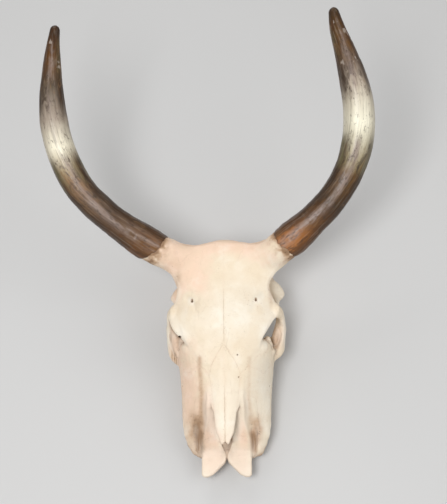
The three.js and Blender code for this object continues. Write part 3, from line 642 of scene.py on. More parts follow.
def whole_steps():
    """What differs from side to side, and what stands on both sides at its own height."""
    steps = [(14, tube_field, core_rows(rows), UPWARDS, {"pieces": 14})
             for rows in (HORN_LEFT, HORN_RIGHT)]
    steps += [(7, tube_field, rows, BACKWARDS, {"pieces": 14})
              for rows in (EAR_ROOT_LEFT, EAR_ROOT_RIGHT)]
    # The opening of the ear.
    steps += [(-3, tube_field, [(118 * side, 377, 86, 6, 5), (84 * side, 380, 90, 4.5, 4)],
               BACKWARDS, {"pieces": 4}) for side in (1, -1)]
    steps += [(5, ball_field, centre, sizes) for centre, sizes in GUM_LOBES]
    steps += [
        (6, tube_field, CHEEK_CORNER_RIGHT, {"pieces": 14}), (-3, orbit_bowl, -1),
        # On the left a low lip narrows the slot behind the orbit; on the right bone fills it, but
        # for a narrow opening under the brow.
        (5, tube_field, ORBIT_LIP_LEFT, {"pieces": 8}),
        (7, tube_field, ORBIT_FILL_RIGHT, {"pieces": 12}),
        (10, tube_field, BROW_RIGHT, {"pieces": 12}), (-1, tube_field, SLOT_RIGHT, {"pieces": 2}),
    ]
    return steps + [(-1, tube_field, vessel_hole(*row), (1, 0.2, 0), {"margin": 6, "pieces": 2})
                    for row in VESSEL_HOLES]


def skull_field(step):
    """The whole skull: the half field and its mirror image, with what differs between them. The
    whole grid starts a whole number of steps beyond the mirrored half, so their points meet."""
    half = Grid((-4 * step, *FIELD_LOW), (132, *FIELD_HIGH), step)
    shape(half, HALF_SKULL)
    keep = half.axes[0] >= -0.01
    axis, left = half.axes[0][keep], half.field[keep]
    body = np.concatenate([left[:0:-1], left])
    whole = Grid((-170, *FIELD_LOW), (160, FIELD_HIGH[0], 224), step)
    start = int(round((170 - axis[-1]) / step))
    count = np.arange(len(whole.axes[0]), dtype=np.float32)
    whole.axes[0] = (step * count - axis[-1] - start * step).astype(np.float32)
    whole.field[start:start + len(body), :body.shape[1], :body.shape[2]] = body
    shape(whole, whole_steps())
    return whole


def core_rows(rows):
    """Path of a horn core: the root rows, and a stub that runs on inside the sheath."""
    table = with_length(rows)
    root = table[SHEATH_FROM, 0]
    place = np.r_[np.linspace(0, root, 5), root + 10, root + 22]
    out = hermite(table, place)
    out[:, 3] = np.minimum(out[:, 3], CORE_RADIUS)
    return out


# ---------------------------------------------------------------- parting into bones


def suture_regions(x, s, z):
    """Regions of the bones as fields that are negative inside, in the order they are taken.
    Every edge wanders by a little noise, so that the sutures are not ruler-straight."""
    side = np.abs(x)
    seen = (1.2 * noise(0, s, z, 9, 3) + 0.7 * noise(0, s, z, 3.4, 4)).astype(np.float32)
    above = (1.2 * noise(x, s, 0, 9, 5) + 0.7 * noise(x, s, 0, 3.4, 6)).astype(np.float32)
    w = hermite(NASAL_WIDTH, np.clip(s, 41, 223).ravel())[:, 0][None, :, None]
    top = roof(np.clip(s, 44, 432).ravel())[None, :, None]
    bed = top - NASAL_BED
    nasal = np.maximum(np.maximum(side - w, bed - z), s - 224)
    premaxilla = ring_distance(SUTURE_PREMAXILLA, s[0], z[0])[None]
    premaxilla = np.maximum(premaxilla, np.minimum(8 - side, s - 60))
    plan = ring_distance(SUTURE_FRONTAL, side[:, :, 0], s[:, :, 0])[:, :, None]
    # In the middle the frontal reaches down by its depth, at the sides to a ledge.
    deep = top - FRONTAL_DEPTH
    ledge = 117 + 24 * rise(s, 320, 340)
    limit = deep + (ledge - deep) * rise(side, 50, 62)
    frontal = np.maximum(plan, limit - z)
    lacrimal = np.maximum(ring_distance(SUTURE_LACRIMAL, s[0], z[0])[None], 46 - side)
    zygomatic = np.maximum(ring_distance(SUTURE_ZYGOMATIC, s[0], z[0])[None], 60 - side)
    temporal = np.maximum(ring_distance(SUTURE_TEMPORAL, s[0], z[0])[None], 44 - side)
    front = ring_distance(SUTURE_MAXILLA, s[0], z[0])[None]
    middle = s - OCCIPITAL_FROM + 0 * z
    return [
        ("nasal", True, nasal + 0.3 * above), ("premaxilla", True, premaxilla + 0.6 * seen),
        ("frontal", False, frontal + above), ("lacrimal", True, lacrimal + seen),
        ("zygomatic", True, zygomatic + seen), ("temporal", True, temporal + seen),
        ("maxilla", True, front + seen), ("sphenoid", False, middle + seen),
    ]


def surface_net(field, axes, step):
    """Mesh of a field's zero surface: one vertex in each cell the surface passes, at the mean
    of its crossings on the cell's edges, and one quad round each grid edge that crosses."""
    inside = field < 0
    nx, ny, nz = field.shape
    cells = (nx - 1, ny - 1, nz - 1)
    total = np.zeros(cells, np.int8)
    corner = list(np.ndindex(2, 2, 2))
    view = {c: (slice(c[0], nx - 1 + c[0]), slice(c[1], ny - 1 + c[1]), slice(c[2], nz - 1 + c[2]))
            for c in corner}
    for c in corner:
        total += inside[view[c]]
    active = (total > 0) & (total < 8)
    index = np.full(cells, -1, np.int64)
    where = np.argwhere(active)
    index[active] = np.arange(len(where))
    place = np.zeros((len(where), 3))
    hits = np.zeros(len(where))
    value = {c: field[view[c]][active].astype(float) for c in corner}
    for a in corner:
        for axis in range(3):
            if a[axis]:
                continue
            b = list(a)
            b[axis] = 1
            va, vb = value[a], value[tuple(b)]
            cross = (va < 0) != (vb < 0)
            t = np.where(cross, va / np.where(cross, va - vb, 1), 0)
            point = np.array(a, float) + 0 * place
            point[:, axis] += t
            place += point * cross[:, None]
            hits += cross
    place = where + place / hits[:, None]
    faces = []
    for axis in range(3):
        b, c = (axis + 1) % 3, (axis + 2) % 3
        low = [slice(None)] * 3
        high = [slice(None)] * 3
        low[axis] = slice(0, -1)
        high[axis] = slice(1, None)
        here, there = inside[tuple(low)], inside[tuple(high)]
        edge = np.argwhere(here != there)
        fine = ((edge[:, b] > 0) & (edge[:, c] > 0)
                & (edge[:, b] < field.shape[b] - 1) & (edge[:, c] < field.shape[c] - 1))
        edge = edge[fine]
        out = here[tuple(edge.T)]
        quad = []
        for db, dc in ((0, 0), (-1, 0), (-1, -1), (0, -1)):
            cell = edge.copy()
            cell[:, b] += db
            cell[:, c] += dc
            quad.append(index[tuple(cell.T)])
        quad = np.stack(quad, 1)
        quad[~out] = quad[~out][:, ::-1]
        faces.append(quad)
    points = np.stack([axes[i][0] + place[:, i] * step for i in range(3)], 1)
    return points, np.concatenate(faces)


def edges_of(faces):
    """Both ends of every side of the quads."""
    return np.concatenate([faces[:, [i, (i + 1) % 4]] for i in range(4)])


def largest_part(points, faces):
    """The biggest connected part of a mesh: every vertex takes the smallest label among its
    neighbours until nothing changes, with jumps along the labels to make that quick."""
    label = np.arange(len(points))
    ends = edges_of(faces)
    while True:
        low = np.minimum(label[ends[:, 0]], label[ends[:, 1]])
        new = label.copy()
        np.minimum.at(new, ends[:, 0], low)
        np.minimum.at(new, ends[:, 1], low)
        new = new[new]
        new = new[new]
        if np.array_equal(new, label):
            break
        label = new
    names, counts = np.unique(label[faces[:, 0]], return_counts=True)
    keep = label[faces[:, 0]] == names[np.argmax(counts)]
    faces = faces[keep]
    used, faces = np.unique(faces, return_inverse=True)
    return points[used], faces.reshape(-1, 4)


def smoothed(points, faces, rounds):
    """Evens a mesh out: each vertex moves halfway to the mean of its neighbours and then a
    little more than that back, which keeps its volume."""
    ends = edges_of(faces)
    count = np.bincount(ends[:, 0], minlength=len(points)).astype(float)
    count += np.bincount(ends[:, 1], minlength=len(points))
    for _ in range(rounds):
        for part in (0.5, -0.52):
            mean = np.stack([
                np.bincount(ends[:, 0], points[ends[:, 1], i], len(points))
                + np.bincount(ends[:, 1], points[ends[:, 0], i], len(points))
                for i in range(3)
            ], 1) / count[:, None]
            points = points + part * (mean - points)
    return points


def vertex_normals(points, faces):
    """Unit normals: the crossed diagonals of the quads, summed at their corners."""
    d1 = points[faces[:, 2]] - points[faces[:, 0]]
    d2 = points[faces[:, 3]] - points[faces[:, 1]]
    face = np.cross(d1, d2)
    out = np.stack([
        sum(np.bincount(faces[:, c], face[:, i], len(points)) for c in range(4)) for i in range(3)
    ], 1)
    return out / (np.linalg.norm(out, axis=1)[:, None] + 1e-12)


# ---------------------------------------------------------------- meshes


def laid(points):
    """Points from the skull's own frame to the way it lies on the floor, in metres."""
    c, d = math.cos(REST_PITCH), math.sin(REST_PITCH)
    x, y, z = points.T
    turned = np.stack([x, y * c + z * d, z * c - y * d], 1)
    return (turned + LIE_SHIFT) / 1000


def on_floor(points):
    """Points laid as above, with what would reach under the floor cut off at it."""
    points = laid(points)
    points[:, 2] = np.maximum(points[:, 2], 0)
    return points


def make_mesh(name, points, faces, attributes=None, smooth=True):
    """Object from points, a list of arrays of quads or triangles, and values by point."""
    mesh = bpy.data.meshes.new(name)
    corners = np.concatenate([part.ravel() for part in faces]).astype(np.int32)
    sizes = np.concatenate([np.full(len(part), part.shape[1]) for part in faces])
    mesh.vertices.add(len(points))
    mesh.vertices.foreach_set("co", np.asarray(points, np.float32).ravel())
    mesh.loops.add(len(corners))
    mesh.loops.foreach_set("vertex_index", corners)
    mesh.polygons.add(len(sizes))
    mesh.polygons.foreach_set("loop_start", (np.cumsum(sizes) - sizes).astype(np.int32))
    mesh.update(calc_edges=True)
    mesh.polygons.foreach_set("use_smooth", np.full(len(sizes), smooth))
    for key, values in (attributes or {}).items():
        layer = mesh.attributes.new(key, "FLOAT", "POINT")
        layer.data.foreach_set("value", np.asarray(values, np.float32))
    mesh.validate()
    mesh.update()
    piece = bpy.data.objects.new(name, mesh)
    bpy.context.scene.collection.objects.link(piece)
    return piece


def sample(grid, values, points):
    """Values of a field at free points, weighted linearly between the eight grid points round
    each."""
    low, part = [], []
    for axis, place in zip(grid.axes, points.T):
        place = (place - axis[0]) / grid.step
        cell = np.clip(np.floor(place).astype(np.int64), 0, len(axis) - 2)
        low.append(cell)
        part.append(np.clip(place - cell, 0, 1))
    return corner_mean(part, lambda i, j, k: values[low[0] + i, low[1] + j, low[2] + k])


def path_distance(path, p, q):
    """Distance in a plane from the points (p, q) to an open path."""
    path = np.asarray(path, float)
    best = np.full(p.shape, 1e9)
    for a, b in zip(path[:-1], path[1:]):
        e = b - a
        t = np.clip(((p - a[0]) * e[0] + (q - a[1]) * e[1]) / (e @ e), 0, 1)
        best = np.minimum(best, np.hypot(p - a[0] - t * e[0], q - a[1] - t * e[1]))
    return best


def spot(x, s, at_x, at_s, wide, long):
    """Bell-shaped patch in plan, 1 at its centre."""
    return np.exp(-((x - at_x) / wide) ** 2 - ((s - at_s) / long) ** 2)


def rim_distance(points):
    """How far each point near a horn core lies, along the core, from the ring at its end."""
    best = np.full(len(points), 1e9)
    for rows in (HORN_LEFT, HORN_RIGHT):
        table = with_length(rows)
        here = hermite(table, table[SHEATH_FROM:SHEATH_FROM + 1, 0])[0]
        ahead = hermite(table, table[SHEATH_FROM:SHEATH_FROM + 1, 0] + 1)[0]
        way = (ahead[:3] - here[:3]) / np.linalg.norm(ahead[:3] - here[:3])
        off = points - here[:3]
        short = off @ way
        near = np.linalg.norm(off - short[:, None] * way, axis=1) < 60
        best = np.minimum(best, np.where(near & (np.abs(short) < 90), np.abs(short), 1e9))
    return best


def weathered(points, normals):
    """Moves the bone's vertices. A slow wander, the same for bones that touch, and a fuller
    right temple come first; then, along the normal, low swellings, rough muscle marks at the
    horn roots and the nape, ribs over the tooth roots, and the furrows of the forehead."""
    x, s, z = points.T
    wander = np.stack([noise(x, s, z, 70, 11 + i) for i in range(3)], 1) * 0.9
    temple = np.exp(-((s - 348) / 27) ** 2) * rise(-x, 0, 88) ** 3
    wander[:, 0] -= 5.5 * temple * rise(z, 105, 145)
    swell = 0.35 * noise(x, s, z, 16, 21) + 0.18 * noise(x, s, z, 6, 22)
    swell += 0.08 * noise(x, s, z, 2.8, 23)
    root = np.exp(-rim_distance(points) / 16)
    nape = rise(s, 416, 428) * rise(z, 60, 80)
    swell += (0.8 * root + 0.6 * nape) * noise(x, s, z, 7, 24)
    swell += 0.35 * root * noise(x, s, z, 3, 25)
    start = TOOTH_ROW_START
    side = rise(np.abs(x), 52, 62) * rise(z, 44, 26)
    for length in TOOTH_LENGTHS:
        swell += 1.5 * side * np.exp(-((s - start - length / 2) / (0.3 * length)) ** 2)
        start += length
    top = rise(z, 120, 130) * np.clip(normals[:, 2] * 2 - 0.4, 0, 1)
    for path in FURROWS:
        swell -= 1.3 * top * np.exp(-(path_distance(path, x, s) / 5.5) ** 2)
    middle = np.exp(-((x - 0.8 * noise(0, s, 0, 7, 26)) / 1.6) ** 2)
    swell -= 0.2 * top * middle * rise(s, 330, 306) * rise(s, 222, 228)
    ridge = np.exp(-(x / 1.3) ** 2) * rise(z, 76, 79)
    swell -= 0.5 * ridge * rise(s, 150, 110)
    return points + wander + normals * swell[:, None]


def closeness(grid, points, normals, way):
    """How shut in a vertex is (way 1) or how much it stands proud (way -1): at 3, 8 and 18 mm
    along the normal, the share that the distance to the surface falls short; averaged."""
    total = 0
    for reach in (3, 8, 18):
        free = way * sample(grid, grid.field, points + way * reach * normals)
        total = total + np.clip(1 - free / reach, 0, 1)
    return total / 3


def patches(rows, x, s):
    """Sum of a table's bell-shaped patches."""
    return sum(weight * spot(x, s, *place) for weight, *place in rows)


def near_path(path, x, s, wide):
    """Bell-shaped band along a path in plan, 1 on the path."""
    return np.exp(-(path_distance(path, x, s) / wide) ** 2)


def nose_valley_shade(x, s, z):
    """Painted shade, smooth brown, in the valleys beside the nose opening and the clefts at their
    foot, deepest low on the right.
    """
    stain_and_shade = 0
    for side, deep, faint in ((-1, 1.1, 0.4), (1, 0.55, 0.24)):
        valley = near_path([(47 * side, 96), (45 * side, 130), (48 * side, 200)], x, s, 6)
        streak = near_path([(60 * side, 108), (57 * side, 84), (51 * side, 56)], x, s, 8)
        streak = 0.9 * streak * rise(s, 116, 80) + 0.36 * spot(x, s, 62 * side, 88, 20, 36)
        cleft = near_path([(52.5 * side, 50), (52.5 * side, 60), (50 * side, 76)], x, s, 5)
        stain_and_shade = (stain_and_shade + faint * valley * rise(z, 50, 62) + deep * streak * rise(z, 8, 16)
                 + 0.7 * deep * cleft * rise(z, 20, 28))
    return stain_and_shade


def bone_marks(grid, seam, points, normals):
    """Attributes of the bone: how hollow it is, which sets its painted shade, how proud it is, how
    near a suture, and where it is bleached or painted light, warm, stained or painted with shade,
    or marked by the suture between the two halves of the forehead."""
    x, s, z = points.T
    broad = noise(x, s, z, 38, 41)
    small = noise(x, s, z, 11, 42)
    fine = noise(x, s, z, 4.5, 43)
    high, above = rise(z, 116, 122), z > 120
    below = 1 - high
    furrow = above * sum(near_path(path, x, s, 7) for path in FURROWS)
    # Painted shadow along the fissure at the back of the right orbit.
    fissure = below * near_path(ORBIT_FISSURE, x, s, 3) * rise(z, 84, 92)
    bleach_and_light = patches(BLEACHED_AND_LIT, x, s) + high * patches(BLEACHED_HIGH, x, s)
    bleach_and_light = bleach_and_light + 0.22 * broad + 0.12 * small
    warm = patches(WARM, x, s) + below * patches(WARM_SHADE_BELOW, x, s) + 0.3 * broad + 0.15 * small
    # Painted shade, greyer, in the forehead's furrows and round the right nerve opening above the
    # orbit.
    warm = warm - 0.6 * furrow - 0.7 * above * spot(x, s, -63, 311, 10, 13)
    # Rough stains round the horns' rims and low on the gums, and painted shade deep in the nose.
    rim = rim_distance(points)
    inner = rise(np.abs(x), 15, 10) * rise(s, 150, 130) * rise(s, 60, 68) * rise(z, 70, 54)
    stain_and_shade = 0.9 * spot(x, s, 0, 56, 11, 15) * (z < 46) + 0.7 * inner
    stain_and_shade = stain_and_shade + 1.15 * np.exp(-rim / 7) + 0.25 * np.exp(-rim / 24)
    stain_and_shade = stain_and_shade + 0.5 * rise(z, 60, 35) * rise(np.abs(x), 40, 52) * rise(z, 30, 14)
    stain_and_shade = stain_and_shade * (1 + 0.5 * small + 0.4 * fine) + 0.06 * np.clip(small, 0, 1)
    # Painted shade from the tables, in the valleys beside the nose and along the orbit's fissure.
    stain_and_shade = (stain_and_shade + patches(SHADE_AND_DARKER, x, s) + below * patches(SHADE_BELOW, x, s)
             + nose_valley_shade(x, s, z) + 0.9 * fissure)
    # Painted shade: how shut in each point is, deeper in the forehead's furrows and weaker where
    # LIT says, with a dark spot and the fissure at the right orbit.
    shut_in = closeness(grid, points, normals, 1) + 0.06 * furrow
    hollow = (shut_in * (1 - 0.65 * patches(LIT, x, s)) + 0.5 * below * spot(x, s, -90, 268, 4, 5)
              + 0.35 * fissure)
    midline = (0.75 * rise(s, 330, 306) * rise(s, 224, 227)
               + rise(s, 41, 45) * rise(s, 160, 110) * (z > 74)) * (normals[:, 2] > 0.3)
    return {
        "hollow": hollow,
        "proud": closeness(grid, points, normals, -1),
        "seam": np.exp(-(sample(grid, seam, points) / 2.2) ** 2),
        "bleach_and_light": np.clip(bleach_and_light, 0, 1),
        "warm": np.clip(0.5 + 0.5 * warm, 0, 1),
        "stain_and_shade": np.clip(stain_and_shade, 0, 1),
        "midline": midline,
    }


# ---------------------------------------------------------------- materials


class Maker:
    """A material under construction: adds nodes, and links whatever socket it is handed."""

    def __init__(self, name, roughness=0.5):
        self.material = bpy.data.materials.new(name)
        self.material.use_nodes = True
        self.tree = self.material.node_tree
        self.shader = self.tree.nodes["Principled BSDF"]
        self.shader.inputs["Roughness"].default_value = roughness
        coords = self.tree.nodes.new("ShaderNodeTexCoord")
        self.place = coords.outputs["Object"]

    def feed(self, socket, value):
        """Links a socket to another one, or gives it a colour or a number."""
        if isinstance(value, bpy.types.NodeSocket):
            self.tree.links.new(value, socket)
        elif isinstance(value, tuple) and len(value) == 3 and socket.type == "RGBA":
            socket.default_value = (*value, 1)
        else:
            socket.default_value = value

    def attribute(self, name):
        """What a mesh attribute says at each point."""
        made = self.tree.nodes.new("ShaderNodeAttribute")
        made.attribute_name = name
        return made.outputs["Fac"]

    def mix(self, factor, a, b):
        """Colour a times (1 - factor) plus colour b times factor."""
        made = self.tree.nodes.new("ShaderNodeMix")
        made.data_type = "RGBA"
        for index, value in ((0, factor), (6, a), (7, b)):
            self.feed(made.inputs[index], value)
        return made.outputs[2]

    def math(self, kind, a, b=0.0, clamp=False):
        """Two numbers worked together, held in 0 to 1 if clamped."""
        made = self.tree.nodes.new("ShaderNodeMath")
        made.operation = kind
        made.use_clamp = clamp
        self.feed(made.inputs[0], a)
        self.feed(made.inputs[1], b)
        return made.outputs[0]

    def times(self, a, b, clamp=False):
        """The product a b."""
        return self.math("MULTIPLY", a, b, clamp)

    def plus(self, a, b):
        """The sum a + b."""
        return self.math("ADD", a, b)

    def minus(self, a, b):
        """The difference a - b."""
        return self.math("SUBTRACT", a, b)

    def over(self, tone, colour, mask, amount):
        """The tone with a colour laid over it, as strongly as the mask times the amount."""
        return self.mix(self.times(mask, amount), tone, colour)

    def band(self, value, low, high, out_low=0.0, out_high=1.0):
        """Eased step: out_low where value is under low, out_high where it is over high."""
        made = self.tree.nodes.new("ShaderNodeMapRange")
        made.interpolation_type = "SMOOTHSTEP"
        for index, number in enumerate((value, low, high, out_low, out_high)):
            self.feed(made.inputs[index], number)
        return made.outputs[0]

    def stretched(self, vector, scale):
        """A place with each coordinate times its own scale."""
        made = self.tree.nodes.new("ShaderNodeMapping")
        self.feed(made.inputs["Vector"], vector)
        made.inputs["Scale"].default_value = scale
        return made.outputs[0]

    def noise(self, vector, scale, detail=4.0, rough=0.55, bend=0.0):
        """Smooth noise from 0 to 1: each finer layer is `rough` times as strong as the last."""
        made = self.tree.nodes.new("ShaderNodeTexNoise")
        self.feed(made.inputs["Vector"], vector)
        for key, number in (("Scale", scale), ("Detail", detail), ("Roughness", rough),
                            ("Distortion", bend)):
            made.inputs[key].default_value = number
        return made.outputs["Fac"]

    def cells(self, vector, scale, feature="F1"):
        """Distance to the nearest seed point, or to the nearest edge between two cells."""
        made = self.tree.nodes.new("ShaderNodeTexVoronoi")
        made.feature = feature
        self.feed(made.inputs["Vector"], vector)
        made.inputs["Scale"].default_value = scale
        return made.outputs["Distance"]

    def ramp(self, factor, stops):
        """Colour that runs straight from each stop to the next one."""
        made = self.tree.nodes.new("ShaderNodeValToRGB")
        bar = made.color_ramp
        bar.elements[0].color = (*stops[0][1], 1)
        bar.elements[1].color = (*stops[-1][1], 1)
        for place, colour in stops[1:-1]:
            bar.elements.new(place).color = (*colour, 1)
        self.feed(made.inputs["Fac"], factor)
        return made.outputs["Color"]

    def bump(self, height, strength, depth, under=None):
        """Normal tilted by the slope of a height, on top of another normal."""
        made = self.tree.nodes.new("ShaderNodeBump")
        made.inputs["Strength"].default_value = strength
        made.inputs["Distance"].default_value = depth
        self.feed(made.inputs["Height"], height)
        if under is not None:
            self.feed(made.inputs["Normal"], under)
        return made.outputs["Normal"]

    def finish(self, colour, roughness=None, normal=None):
        """Feeds the shader and hands over the material."""
        self.feed(self.shader.inputs["Base Color"], colour)
        if roughness is not None:
            self.feed(self.shader.inputs["Roughness"], roughness)
        if normal is not None:
            self.feed(self.shader.inputs["Normal"], normal)
        return self.material


# Colours of the bone and what lies on it, of the painted shade in its hollows, and of the teeth.
OLD_IVORY, CHALK, WORN_BONE = (0.74, 0.60, 0.43), (0.90, 0.84, 0.74), (0.93, 0.87, 0.77)
SOIL, HOLLOW_SHADE = (0.10, 0.055, 0.03), (0.36, 0.235, 0.145)
PORE, PIT, CRACK = (0.34, 0.23, 0.14), (0.22, 0.14, 0.08), (0.40, 0.28, 0.18)
SEAM, SEAM_EDGE, MIDLINE = (0.66, 0.44, 0.32), (0.66, 0.52, 0.36), (0.40, 0.26, 0.15)
CEMENT, ENAMEL = (0.72, 0.62, 0.46), (0.84, 0.78, 0.66)
TARTAR, TOOTH_HOLLOW = (0.30, 0.18, 0.09), (0.12, 0.07, 0.04)
# What the gloss adds to the horns, and the colours of what lies over their shades: the flank
# colours are painted shade, the pale streak a painted highlight, and the inside colour painted
# shade inside the sheath.
GLOSS = (0.01, 0.018, 0.024)
DARK_FLANK_SHADE, PALE_FLANK_SHADE = (0.036, 0.018, 0.009), (0.20, 0.165, 0.12)
MOTTLE, WARM_HORN, PAINTED_HIGHLIGHT = (0.032, 0.018, 0.01), (0.20, 0.11, 0.05), (0.36, 0.28, 0.245)
RUST, OLIVE = (0.21, 0.085, 0.03), (0.17, 0.15, 0.07)
DARK_STRIPE, PALE_STRIPE, FLECK = (0.05, 0.032, 0.022), (0.55, 0.47, 0.38), (0.06, 0.04, 0.028)
FLAKE, INSIDE_SHADE = (0.42, 0.36, 0.31), (0.10, 0.06, 0.035)


def linear(shade):
    """Linear colour of an sRGB shade from 0 to 255."""
    return tuple((c / 255 / 12.92 if c < 10 else ((c / 255 + 0.055) / 1.055) ** 2.4) for c in shade)


def horn_shade(shade):
    """Base colour under which lit horn shows an sRGB shade: the gloss's share is taken off,
    and dark shades are taken down a little more."""
    lit = 1.22 * (0.12 + 0.87 * max(shade) / 255)
    return tuple(min(0.93, max(0.006, (c - g) * lit)) for c, g in zip(linear(shade), GLOSS))


def bone_material(settings):
    """Dry bone. Ivory is bleached white on the crowns and painted light on the ear roots, pinkish
    beige or grey cream on the flanks, and stained brown round the horns; painted brown shade lies
    in the hollows, in the valleys and deep in the nose. Over that lie pores, hairline cracks, a
    grain that runs along the skull, and the line between the halves of the forehead."""
    m = Maker("dry_bone", 0.62)
    place = m.place
    fibre = m.noise(m.stretched(place, (1, 0.16, 1)), 190, 5, 0.6)
    cloud = m.noise(place, 26, 6, 0.62, 0.4)
    grit = m.noise(place, 420, 5, 0.7)
    patch = m.noise(place, 55, 5, 0.6)
    ivory, white, beige, grey, tan, brown = (tuple(colour) for colour in (
        settings.bone_ivory, settings.bone_bleached, settings.bone_beige, settings.bone_grey,
        settings.tan_stain_and_shade, settings.brown_stain_and_shade))
    warm = m.attribute("warm")
    tone = m.mix(m.attribute("bleach_and_light"), ivory, white)
    tone = m.mix(m.band(warm, 0.55, 1.0, 0.0, 0.95), tone, beige)
    tone = m.mix(m.band(warm, 0.45, 0.0, 0.0, 0.8), tone, grey)
    tone = m.mix(m.band(cloud, 0.35, 0.72, 0.0, 0.42), tone, OLD_IVORY)
    tone = m.mix(m.band(cloud, 0.5, 0.25, 0.0, 0.35), tone, CHALK)
    # Tan and brown, for the stains of grease and soil and for painted shade, broken up by the
    # patches.
    stain_and_shade = m.times(m.attribute("stain_and_shade"), m.band(patch, 0.25, 0.7, 0.72, 1.2), True)
    tone = m.mix(m.band(stain_and_shade, 0.05, 0.6), tone, tan)
    tone = m.mix(m.band(stain_and_shade, 0.5, 1.0, 0.0, 0.85), tone, brown)
    specks = m.times(m.band(m.noise(place, 330, 3, 0.6), 0.6, 0.7), m.band(stain_and_shade, 0.12, 0.5), True)
    tone = m.over(tone, SOIL, specks, 0.7)
    # Painted shade: hollows are darkened towards brown the more shut in they are.
    tone = m.mix(m.band(m.attribute("hollow"), 0.06, 0.62, 0.0, 0.88), tone, HOLLOW_SHADE)
    tone = m.mix(m.band(m.attribute("proud"), 0.15, 0.6, 0.0, 0.3), tone, WORN_BONE)
    # Pores, in fields, and sparse darker pits.
    pores = m.times(m.band(m.cells(place, 620), 0.3, 0.12),
                    m.band(m.noise(place, 70, 2, 0.5), 0.47, 0.6), True)
    pits = m.times(m.band(m.cells(place, 150), 0.14, 0.05),
                   m.band(m.noise(place, 30, 2, 0.5), 0.5, 0.62), True)
    tone = m.over(tone, PORE, pores, 0.4)
    tone = m.over(tone, PIT, pits, 0.55)
    # Hairline cracks: the edges of large bent cells, where a slow noise lets them show.
    bent = m.tree.nodes.new("ShaderNodeVectorMath")
    bent.operation = "MULTIPLY_ADD"
    m.feed(bent.inputs[0], m.noise(place, 60, 3, 0.6))
    bent.inputs[1].default_value = (0.02, 0.02, 0.02)
    m.feed(bent.inputs[2], m.stretched(place, (1, 0.45, 1)))
    crack = m.times(m.band(m.cells(bent.outputs[0], 26, "DISTANCE_TO_EDGE"), 0.016, 0.004),
                    m.band(m.noise(place, 12, 2, 0.5), 0.54, 0.62), True)
    tone = m.over(tone, CRACK, crack, 0.14)
    # Sutures, and the frontal suture as a line that wanders about the skull's middle plane.
    tone = m.over(tone, SEAM, m.attribute("seam"), 0.1)
    split = m.tree.nodes.new("ShaderNodeSeparateXYZ")
    m.feed(split.inputs[0], place)
    wave = m.noise(m.stretched(place, (0, 1, 0)), 140, 4, 0.7)
    wave = m.times(m.minus(wave, 0.5), 0.0035)
    off = m.math("ABSOLUTE", m.plus(m.minus(split.outputs[0], LIE_SHIFT[0] / 1000), wave))
    shown = m.times(m.attribute("midline"), m.band(patch, 0.3, 0.6, 0.35, 1.0))
    middle = m.times(m.band(off, 0.0011, 0.0003), shown, True)
    around = m.times(m.band(off, 0.007, 0.0), shown, True)
    tone = m.over(tone, SEAM_EDGE, around, 0.14)
    tone = m.over(tone, MIDLINE, middle, 0.55)
    dents = m.plus(m.plus(pores, pits), m.plus(m.times(crack, 0.3), middle))
    height = m.minus(m.plus(m.times(fibre, 0.5), m.times(grit, 0.35)), m.times(dents, 0.5))
    normal = m.bump(height, 0.4, 0.0006, m.bump(cloud, 0.25, 0.002))
    rough = settings.bone_roughness
    return m.finish(tone, m.band(fibre, 0.3, 0.7, rough - 0.1, rough + 0.14), normal)


def tooth_material(settings):
    """Cheek teeth: cream enamel under patchy brown cement, with dark hollows on the worn face
    and brown streaks that run down the crown."""
    m = Maker("tooth", 0.35)
    streak = m.noise(m.stretched(m.place, (1, 1, 0.2)), 520, 4, 0.6)
    patch = m.noise(m.place, 170, 5, 0.6)
    tone = m.mix(m.band(patch, 0.35, 0.65), CEMENT, ENAMEL)
    tone = m.mix(m.band(streak, 0.5, 0.72, 0.0, 0.75), tone, TARTAR)
    tone = m.mix(m.band(m.attribute("crown"), 5.0, 14.0, 0.0, 0.75), tone, MIDLINE)
    tone = m.mix(m.attribute("worn"), tone, TOOTH_HOLLOW)
    normal = m.bump(m.plus(streak, m.times(patch, 0.5)), 0.5, 0.0007)
    rough = settings.tooth_roughness
    return m.finish(tone, m.band(patch, 0.3, 0.7, rough, rough + 0.25), normal)


# Shades of the sheaths from rim (0) to tip (1), sRGB.
SHADES_RIGHT = [
    (0.00, (138, 98, 66)), (0.14, (122, 100, 84)), (0.24, (118, 98, 84)), (0.40, (154, 124, 96)),
    (0.45, (176, 158, 128)), (0.54, (240, 228, 208)), (0.64, (176, 163, 150)),
    (0.76, (118, 106, 92)), (0.84, (120, 84, 54)), (1.00, (78, 60, 40)),
]
SHADES_LEFT = [
    (0.00, (184, 124, 78)), (0.06, (170, 114, 72)), (0.13, (124, 92, 70)), (0.24, (106, 84, 66)),
    (0.36, (124, 96, 68)), (0.40, (158, 143, 108)), (0.56, (240, 230, 210)),
    (0.69, (192, 180, 164)), (0.76, (140, 125, 114)), (0.84, (122, 90, 60)), (1.00, (92, 72, 44)),
]
# Side, path, mm that the rim's upper edge lies before its lower one, seed, shades.
HORNS = [
    ("left", HORN_LEFT, -2.5, 31, SHADES_LEFT), ("right", HORN_RIGHT, -16, 47, SHADES_RIGHT),
]


